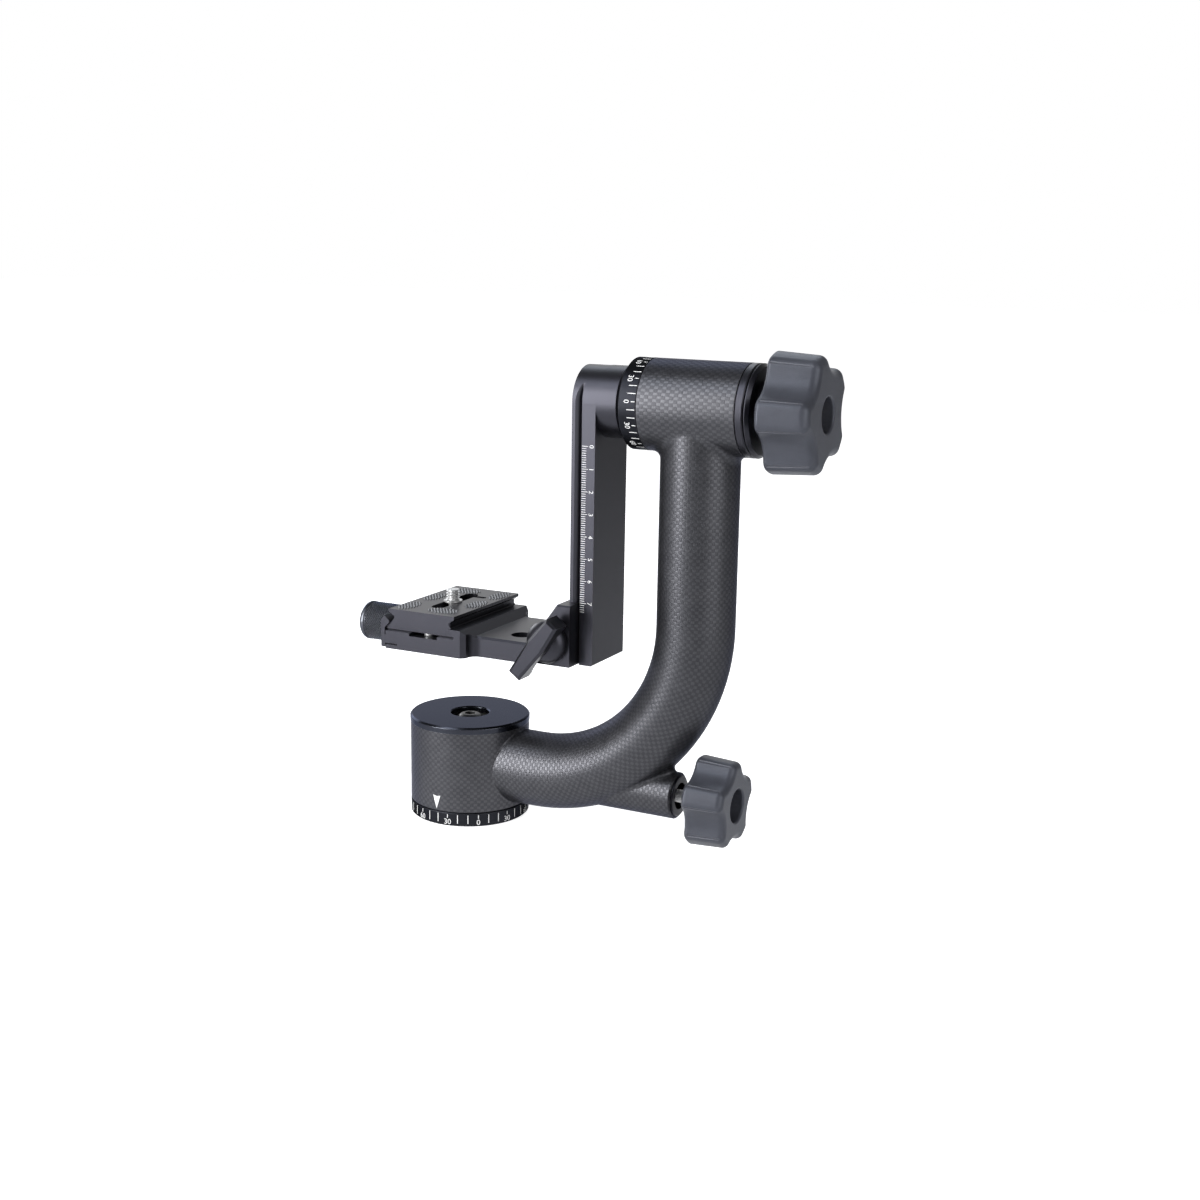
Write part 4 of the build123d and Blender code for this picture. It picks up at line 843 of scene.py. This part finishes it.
@dataclass
class PanScale(DegreeScale):
    """Degrees printed round the base, and the pointer on the arm above them."""

    name: str = "pan_scale"
    body: str = "base"
    radius: float = 28.25
    zero_deg: float = -51.0
    tick_at: float = 5.6
    long_tick: float = 4.2
    short_tick: float = 1.7
    tick_width: float = 0.38
    figure: float = 2.7
    figure_at: float = 1.95
    pointer_deg: float = -92.5
    pointer_top: float = 14.2
    pointer_tip: float = 7.6
    pointer_width: float = 4.0
    pointer_notch: float = 0.92

    def point(self, turn: float, reach: float, along: float) -> Vector:
        """A point at an angle round the pan axis from +X, at a distance from it and a height."""
        return Vector((reach * math.cos(turn), reach * math.sin(turn), along))

    def build_pointer(self) -> None:
        """The notched arrowhead above the scale."""
        piece = Workpiece("pan_pointer")
        half = self.pointer_width / 2
        height = self.pointer_top - self.pointer_tip
        outline = ((-half, height), (0, height * self.pointer_notch), (half, height), (0, 0))
        face = piece.mesh.faces.new([piece.mesh.verts.new((u, v, PRINT_HALF)) for u, v in outline])
        piece.pull([face], (0, 0, -PRINT_HALF - self.sunk))
        piece.divide((0, 0, 0), (1, 0, 0))
        lay = self.wrap(self.pointer_deg, self.pointer_tip)
        for vert in piece.mesh.verts:
            vert.co = lay(vert.co)
        piece.tidy()
        piece.finish(Finish.PRINT, "arm")


@dataclass
class TiltScale(DegreeScale):
    """Degrees printed round the tilt dial, which turns with the bar."""

    name: str = "tilt_scale"
    body: str = "swing"
    radius: float = 20.1
    zero_deg: float = -82.6
    tick_at: float = 93.35
    long_tick: float = 3.7
    short_tick: float = 1.8
    tick_width: float = 0.34
    figure: float = 2.5
    figure_at: float = 89.3
    sense: int = -1
    axis_z: float = 200.2

    def point(self, turn: float, reach: float, along: float) -> Vector:
        """A point at an angle round the tilt axis from straight up, at a distance from it and an x."""
        return Vector((along, reach * math.sin(turn), self.axis_z + reach * math.cos(turn)))


@dataclass
class BarRuler:
    """The ruler printed down the bar, beside its rail."""

    face_y: float = -15.84
    proud: float = 0.04
    sunk: float = 0.03
    edge_x: float = 66.5
    zero_z: float = 181.67
    ticks: int = 74
    tick: float = 2.1
    centimetre_tick: float = 3.0
    tick_width: float = 0.24
    figure: float = 2.2
    figure_x: float = 71.1

    def wrap(self, height: float) -> Laying:
        """A function that lays a figure on the bar, its top towards +X.

        Args:
            height: height of the figure's middle.

        Returns:
            The function, from (right, up, out) to the frame.
        """
        def lay(flat: Vector) -> Vector:
            """Put one point in place."""
            return Vector((self.figure_x + flat.y, self.face_y - PRINT_LIFT - flat.z, height - flat.x))
        return lay

    def build(self) -> None:
        """A tick for each millimetre and a figure for each centimetre."""
        piece = Workpiece("bar_ruler")
        half = self.tick_width / 2
        for step in range(self.ticks + 1):
            centimetre, rest = divmod(step, 10)
            height = self.zero_z - step
            length = self.tick if rest else self.centimetre_tick
            piece.block((self.edge_x, self.face_y - self.proud, height - half),
                        (self.edge_x + length, self.face_y + self.sunk, height + half))
            if not rest:
                piece.word(str(centimetre), self.figure, self.wrap(height))
        piece.finish(Finish.PRINT, "swing")


# ---- screws, knurling and pads -------------------------------------------------------------------
@dataclass
class CameraScrew:
    """The 1/4-20 camera screw with its slotted head in the plate's pocket."""

    x: float = -9.4
    head_r: float = 6.6
    head_z0: float = 92.2
    head_z1: float = 95.6
    neck_r: float = 2.3
    thread_z: float = 101.7
    thread_depth: float = 0.84
    top_z: float = 106.9
    crest_r: float = 3.175
    pitch: float = 1.27
    edge: float = 0.5
    tip: tuple[Pair, ...] = ((0.31, 0.1), (0.75, 0.0))
    slot_w: float = 1.65
    slot_d: float = 1.7
    steps: int = 48
    rows_per_turn: int = 10

    def build(self) -> None:
        """Turn the screw, cut its thread, and sink the slot in its head."""
        piece = Workpiece("camera_screw_cut")
        thread_top = self.top_z - self.edge
        rows = round((thread_top - self.thread_z) / self.pitch * self.rows_per_turn)
        profile = [(0, self.head_z0), (self.head_r - self.edge, self.head_z0),
                   (self.head_r, self.head_z0 + self.edge), (self.head_r, self.head_z1),
                   (self.neck_r, self.head_z1), (self.neck_r, self.thread_z)]
        profile += [(self.crest_r, z) for z in ramp(self.thread_z, thread_top, rows)]
        profile += [(self.crest_r - inwards, self.top_z - down) for inwards, down in self.tip]
        profile += [(0, self.top_z)]
        centre, axis = Vector((self.x, 0, 0)), Vector((0, 0, 1))
        piece.lathe([Vector((self.x + r, 0, z)) for r, z in profile], centre, axis, self.steps)
        thread = Thread(self.pitch, self.thread_depth, self.thread_z, self.top_z)
        thread.cut(piece.mesh, centre, axis, Vector((1, 0, 0)), self.crest_r)
        half = self.slot_w / 2
        for side in (-half, half):
            piece.divide((0, side, 0), (0, 1, 0))
        middles = {face: face.calc_center_median() for face in piece.mesh.faces}
        floor = [face for face, middle in middles.items()
                 if abs(middle.z - self.head_z0) < LEVEL and abs(middle.y) < half]
        piece.pull(floor, (0, 0, self.slot_d))
        bmesh.ops.delete(piece.mesh, geom=floor, context="FACES")
        piece.tidy()
        made = piece.finish(Finish.STEEL, "camera_screw", smooth=50)
        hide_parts("camera_screw")


@dataclass
class StopScrews:
    """The two domed screws under the plate's ends, which keep it from sliding out."""

    x: float = -6.5
    y: float = 2.0
    reach: float = 27.1
    plate_z: float = 91.15
    radius: float = 2.5
    rise: float = 2.0
    domed_share: float = 0.4
    shank_r: float = 1.0
    length: float = 5.0
    steps: int = 32
    dome_steps: int = 6

    def build(self) -> None:
        """Turn both screws."""
        piece = Workpiece("plate_stop_screws_domed")
        straight = 1 - self.domed_share
        dome = [(self.radius * math.sin(turn), -self.rise * (straight + self.domed_share * math.cos(turn)))
                for turn in ramp(0, math.pi / 2, self.dome_steps)]
        profile = dome + [(self.radius, 0), (self.shank_r, 0), (self.shank_r, self.length), (0, self.length)]
        for side in (-1, 1):
            centre = Vector((self.x, self.y + side * self.reach, self.plate_z))
            points = [centre + Vector((r, 0, z)) for r, z in profile]
            piece.lathe(points, centre, Vector((0, 0, 1)), self.steps)
        made = piece.finish(Finish.STEEL, "plate", smooth=50)
        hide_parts("plate_stop_screws")


@dataclass
class LockStud:
    """The pan lock's M6 stud, which shows between the boss and the knob."""

    z: float = 24.3
    crest_r: float = 3.0
    pitch: float = 1.0
    x0: float = 97.0
    x1: float = 130.82
    thread_x0: float = 106.0
    thread_x1: float = 119.0
    thread_depth: float = 0.5
    edge: float = 0.5
    steps: int = 40
    rows_per_turn: int = 8

    def build(self) -> None:
        """Turn the stud and cut the stretch of thread that can be seen."""
        piece = Workpiece("lock_stud_cut")
        rows = round((self.thread_x1 - self.thread_x0) / self.pitch * self.rows_per_turn)
        profile = [(self.x0, 0), (self.x0, self.crest_r - self.edge), (self.x0 + self.edge, self.crest_r)]
        profile += [(x, self.crest_r) for x in ramp(self.thread_x0, self.thread_x1, rows)]
        profile += [(self.x1, self.crest_r), (self.x1, 0)]
        centre, axis = Vector((0, 0, self.z)), Vector((1, 0, 0))
        piece.lathe([Vector((x, 0, self.z + r)) for x, r in profile], centre, axis, self.steps)
        thread = Thread(self.pitch, self.thread_depth, self.thread_x0, self.thread_x1)
        thread.cut(piece.mesh, centre, axis, Vector((0, 1, 0)), self.crest_r)
        made = piece.finish(Finish.STEEL, "pan_knob", smooth=50)
        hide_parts("pan_knob_stud")


@dataclass
class KnurledKnob:
    """The clamp's knurled knob. Its nose is rounded by points given as (back, inwards)."""

    z: float = 86.4
    x0: float = -57.8
    length: float = 21.0
    radius: float = 9.3
    nose: tuple[Pair, ...] = ((0.0, 2.0), (0.5, 1.1), (1.2, 0.35), (2.0, 0.0))
    chamfer: float = 1.0
    neck_r: float = 6.0
    neck_x1: float = -31.05
    bore_r: float = 2.5
    bore_depth: float = 6.0
    band_x0: float = -54.6
    band_x1: float = -38.0
    band_step: float = 0.3
    plain_drop: float = 0.1
    around: int = 44
    rows: int = 13
    depth: float = 0.45

    def on_band(self, face: bmesh.types.BMFace) -> bool:
        """Find out whether a face lies in the knurled band.

        Args:
            face: the face.

        Returns:
            True if it does.
        """
        middle = face.calc_center_median()
        low = self.radius - self.depth - self.band_step
        return self.band_x0 < middle.x < self.band_x1 and math.hypot(middle.y, middle.z - self.z) > low

    def build(self) -> None:
        """Turn the knob, and raise the diamonds of its knurled band."""
        piece = Workpiece("clamp_knob_knurled")
        x1, low, plain = self.x0 + self.length, self.radius - self.depth, self.radius - self.plain_drop
        blind = x1 - self.bore_depth
        profile = [(self.x0, 0)] + [(self.x0 + back, self.radius - inwards) for back, inwards in self.nose]
        profile += [(self.band_x0 - self.band_step, self.radius)]
        profile += [(x, low) for x in ramp(self.band_x0, self.band_x1, self.rows)]
        profile += [(self.band_x1 + self.band_step, plain), (x1 - self.chamfer, plain),
                    (x1, self.radius - self.chamfer), (x1, self.neck_r), (self.neck_x1, self.neck_r),
                    (self.neck_x1, self.bore_r), (blind, self.bore_r), (blind, 0)]
        centre, axis = Vector((0, 0, self.z)), Vector((1, 0, 0))
        piece.lathe([Vector((x, 0, self.z + r)) for x, r in profile], centre, axis, self.around)
        mesh = piece.mesh
        band = [face for face in mesh.faces if self.on_band(face)]
        inner = [edge for edge in mesh.edges if all(self.on_band(face) for face in edge.link_faces)]
        for vert in bmesh.ops.poke(mesh, faces=band, offset=0.0)["verts"]:
            arm = Vector((0, vert.co.y, vert.co.z - self.z))
            vert.co += arm.normalized() * (low - arm.length)
        bmesh.ops.dissolve_edges(mesh, edges=inner, use_verts=False)
        diamonds = [face for face in mesh.faces if len(face.verts) == 4 and self.on_band(face)]
        bmesh.ops.poke(mesh, faces=diamonds, offset=self.depth)
        bmesh.ops.recalc_face_normals(mesh, faces=mesh.faces[:])
        made = piece.finish(Finish.KNURLED, "clamp_knob", smooth=20)
        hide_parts("clamp_knob")


@dataclass
class RibbedPads:
    """The plate's six oval rubber pads with slanting ribs, in pairs opposite each other.

    Each oval is its middle from the plate's, and its half lengths, in x and y. Only points within spare
    of an oval are cut, and rim_share takes in the points on its rim.
    """

    x: float = -9.4
    y: float = 2.0
    low: float = 100.1
    top: float = 101.1
    ovals: tuple[tuple[float, float, float, float], ...] = (
        (-12.7, -19.8, 4.1, 8.2), (-12.9, 2.2, 3.8, 8.2), (6.6, -21.6, 7.4, 4.8))
    segments: int = 72
    pitch: float = 1.4
    groove: float = 0.6
    lean_deg: float = 35.0
    spare: float = 1.5
    rim_share: float = 1.02

    def crease(self, mesh: bmesh.types.BMesh, middle: Vector, rx: float, ry: float) -> None:
        """Crease an oval's top into ribs.

        Args:
            mesh: the pads' mesh.
            middle: the middle of the oval's underside.
            rx: half its length in x.
            ry: half its length in y.
        """
        lean = math.radians(self.lean_deg)
        normal = Vector((math.cos(lean), math.sin(lean), 0))
        reach = math.hypot(rx, ry)
        creases = round(2 * reach / self.pitch)
        for step in range(-creases, creases + 1):
            region = {vert for vert in mesh.verts if (vert.co - middle).length < reach + self.spare}
            faces = [face for face in mesh.faces if all(vert in region for vert in face.verts)]
            edges = list({edge for face in faces for edge in face.edges})
            verts = list({vert for face in faces for vert in face.verts})
            bmesh.ops.bisect_plane(mesh, geom=faces + edges + verts, plane_no=normal,
                                   plane_co=middle + normal * (step * self.pitch / 2))
        for vert in mesh.verts:
            arm = vert.co - middle
            inside = (arm.x / rx) ** 2 + (arm.y / ry) ** 2 < self.rim_share
            if inside and vert.co.z > self.top - LEVEL:
                vert.co.z = self.top - self.groove * (1 - wave(arm.dot(normal), self.pitch))

    def build(self) -> None:
        """Extrude each oval and rib its top."""
        piece = Workpiece("grip_pads_ribbed")
        for dx, dy, rx, ry in self.ovals:
            for side in (1, -1):
                middle = Vector((self.x + side * dx, self.y + side * dy, self.low))
                disc = bmesh.ops.create_circle(piece.mesh, cap_ends=True, radius=1.0,
                                               segments=self.segments)["verts"]
                bmesh.ops.scale(piece.mesh, vec=(rx, ry, 1), verts=disc)
                bmesh.ops.translate(piece.mesh, vec=middle, verts=disc)
                piece.pull([disc[0].link_faces[0]], (0, 0, self.top - self.low))
                self.crease(piece.mesh, middle, rx, ry)
        piece.tidy()
        made = piece.finish(Finish.RUBBER, "plate", smooth=20)
        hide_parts("grip_pads")


# ---- studio --------------------------------------------------------------------------------------
@dataclass(frozen=True)
class SoftBox:
    """A rectangular lamp: its place, aim and size in metres, and its power in watts."""

    name: str
    place: Triple
    aim: Triple
    size: Pair
    power: float
    colour: Colour = (1, 1, 1)

    def hang(self) -> None:
        """Make the lamp."""
        data = bpy.data.lights.new(self.name, "AREA")
        data.shape, data.size, data.size_y = "RECTANGLE", *self.size
        data.energy, data.color = self.power, self.colour
        lamp = bpy.data.objects.new(self.name, data)
        lamp.location = Vector(self.place)
        lamp.rotation_euler = (Vector(self.aim) - Vector(self.place)).to_track_quat("-Z", "Y").to_euler()
        bpy.context.scene.collection.objects.link(lamp)


@dataclass
class Studio:
    """Camera, lamps, floor and surroundings.

    A tall key stands at the left front and a broad fill at the right, with soft boxes above and behind.
    The room is dim, with a white wall behind the head.
    """

    eye: Triple = (0.40040, -0.66129, 0.27303)
    back: Triple = (0.43814, -0.87286, 0.21483)
    bearing_deg: float = 26.65
    roll_deg: float = 0.93
    focal_px: float = 1674.99
    frame_px: float = 1200.0
    sensor_mm: float = 36.0
    clip: Pair = (0.02, 20.0)
    lamps: tuple[SoftBox, ...] = (
        SoftBox("key", (-0.48, -0.84, 0.47), (0.06, 0, 0.42), (0.4, 0.9), 15),
        SoftBox("top", (-0.28, -0.58, 1.03), (0.06, 0, 0.12), (0.6, 0.4), 4.2, (0.9, 0.94, 1.0)),
        SoftBox("back", (-0.25, 0.72, 0.95), (0.06, 0, 0.1), (0.9, 0.4), 2.6, (0.84, 0.91, 1.0)),
        SoftBox("back_fill", (-1.1, 0.5, 0.5), (0.05, 0, 0.12), (0.7, 0.6), 5, (0.95, 0.97, 1.0)),
        SoftBox("fill", (1.05, -0.36, 0.45), (0.06, 0, 0.42), (0.7, 0.86), 6))
    world: float = 0.2
    wall_edge: float = 0.7
    wall_rise: float = 4.0
    floor_half: float = 6.0
    floor_drop: float = 0.0003
    floor_colour: Colour = (0.85, 0.85, 0.86)
    floor_rough: float = 0.9
    floor_white: float = 0.88
    # floor_far and the pool's glow: the floor glows in reflections, a painted pool of light that fades over
    # pool_mm
    floor_far: float = 0.1
    painted_pool_glow: float = 0.8
    pool_mm: float = 260.0

    def build_camera(self) -> None:
        """Stand the camera where the head is seen from."""
        back = Vector(self.back).normalized()
        bearing, roll = math.radians(self.bearing_deg), math.radians(self.roll_deg)
        right = Vector((math.cos(bearing), math.sin(bearing), 0))
        up = back.cross(right)
        turned_right = right * math.cos(roll) + up * math.sin(roll)
        turned_up = up * math.cos(roll) - right * math.sin(roll)
        data = bpy.data.cameras.new("camera")
        data.sensor_width = self.sensor_mm
        data.lens = self.sensor_mm * self.focal_px / self.frame_px
        data.clip_start, data.clip_end = self.clip
        camera = bpy.data.objects.new("camera", data)
        basis = Matrix((turned_right, turned_up, back)).transposed().to_4x4()
        camera.matrix_world = Matrix.Translation(Vector(self.eye)) @ basis
        bpy.context.scene.collection.objects.link(camera)
        bpy.context.scene.camera = camera

    def build_room(self) -> None:
        """A dim room that is white to the camera, and white in reflections only at the wall behind."""
        world = bpy.data.worlds.new("white_room")
        bpy.context.scene.world = world
        world.use_nodes = True
        shader = Shader(world.node_tree)
        texture = shader.node("ShaderNodeTexCoord")
        towards = shader.node("ShaderNodeVectorMath", operation="DOT_PRODUCT")
        shader.plug(texture.outputs["Generated"], towards.inputs[0])
        towards.inputs[1].default_value = Vector((-self.back[0], -self.back[1], 0)).normalized()
        facing = Signal(shader.tree, towards.outputs["Value"]) - self.wall_edge
        wall = (facing * self.wall_rise).at_least(0.0).at_most(1.0)
        camera, glossy, clear = shader.rays()
        white = camera.at_least((glossy + clear) * wall)
        backdrop = world.node_tree.nodes["Background"]
        shader.plug(white * (1 - self.world) + self.world, backdrop.inputs["Strength"])
        backdrop.inputs["Color"].default_value = (1, 1, 1, 1)

    def build_floor(self) -> None:
        """A pale floor that shows white to the camera and keeps a faint shadow. In reflections it glows, most
        in a painted pool of light round the pan axis that fades outwards.
        """
        piece = bmesh.new()
        bmesh.ops.create_grid(piece, x_segments=1, y_segments=1, size=self.floor_half)
        bmesh.ops.translate(piece, vec=(0, 0, -self.floor_drop), verts=piece.verts[:])
        data = bpy.data.meshes.new("floor")
        piece.to_mesh(data)
        piece.free()
        material, shader, bsdf = new_material("white_floor")
        bsdf.inputs["Base Color"].default_value = (*self.floor_colour, 1)
        bsdf.inputs["Roughness"].default_value = self.floor_rough
        bsdf.inputs["Emission Color"].default_value = (1, 1, 1, 1)
        camera, glossy, clear = shader.rays()
        x, y, _ = shader.coordinates()
        # painted light: to glossy and clear rays the floor glows, brightest in a pool round the pan axis
        painted_light_pool = (1 - x.hypot(y) * (1 / self.pool_mm)).at_least(0.0)
        painted_glow_in_reflections = (glossy + clear) * (painted_light_pool * self.painted_pool_glow + self.floor_far)
        shader.plug(camera * self.floor_white + painted_glow_in_reflections, bsdf.inputs["Emission Strength"])
        data.materials.append(material)
        floor = bpy.data.objects.new("floor", data)
        bpy.context.scene.collection.objects.link(floor)

    def build(self) -> None:
        """Set up the whole studio."""
        self.build_camera()
        for lamp in self.lamps:
            lamp.hang()
        self.build_room()
        self.build_floor()
        bpy.context.scene.view_settings.view_transform = "Standard"


def main() -> None:
    """Build the head's looks in order."""
    logging.basicConfig(level=logging.INFO, format="%(name)s: %(message)s")
    Studio().build()
    dress_nodes()
    pan_scale = PanScale()
    pan_scale.build_degrees()
    pan_scale.build_pointer()
    TiltScale().build_degrees()
    BarRuler().build()
    CameraScrew().build()
    StopScrews().build()
    LockStud().build()
    KnurledKnob().build()
    RibbedPads().build()


if __name__ == "__main__":
    main()
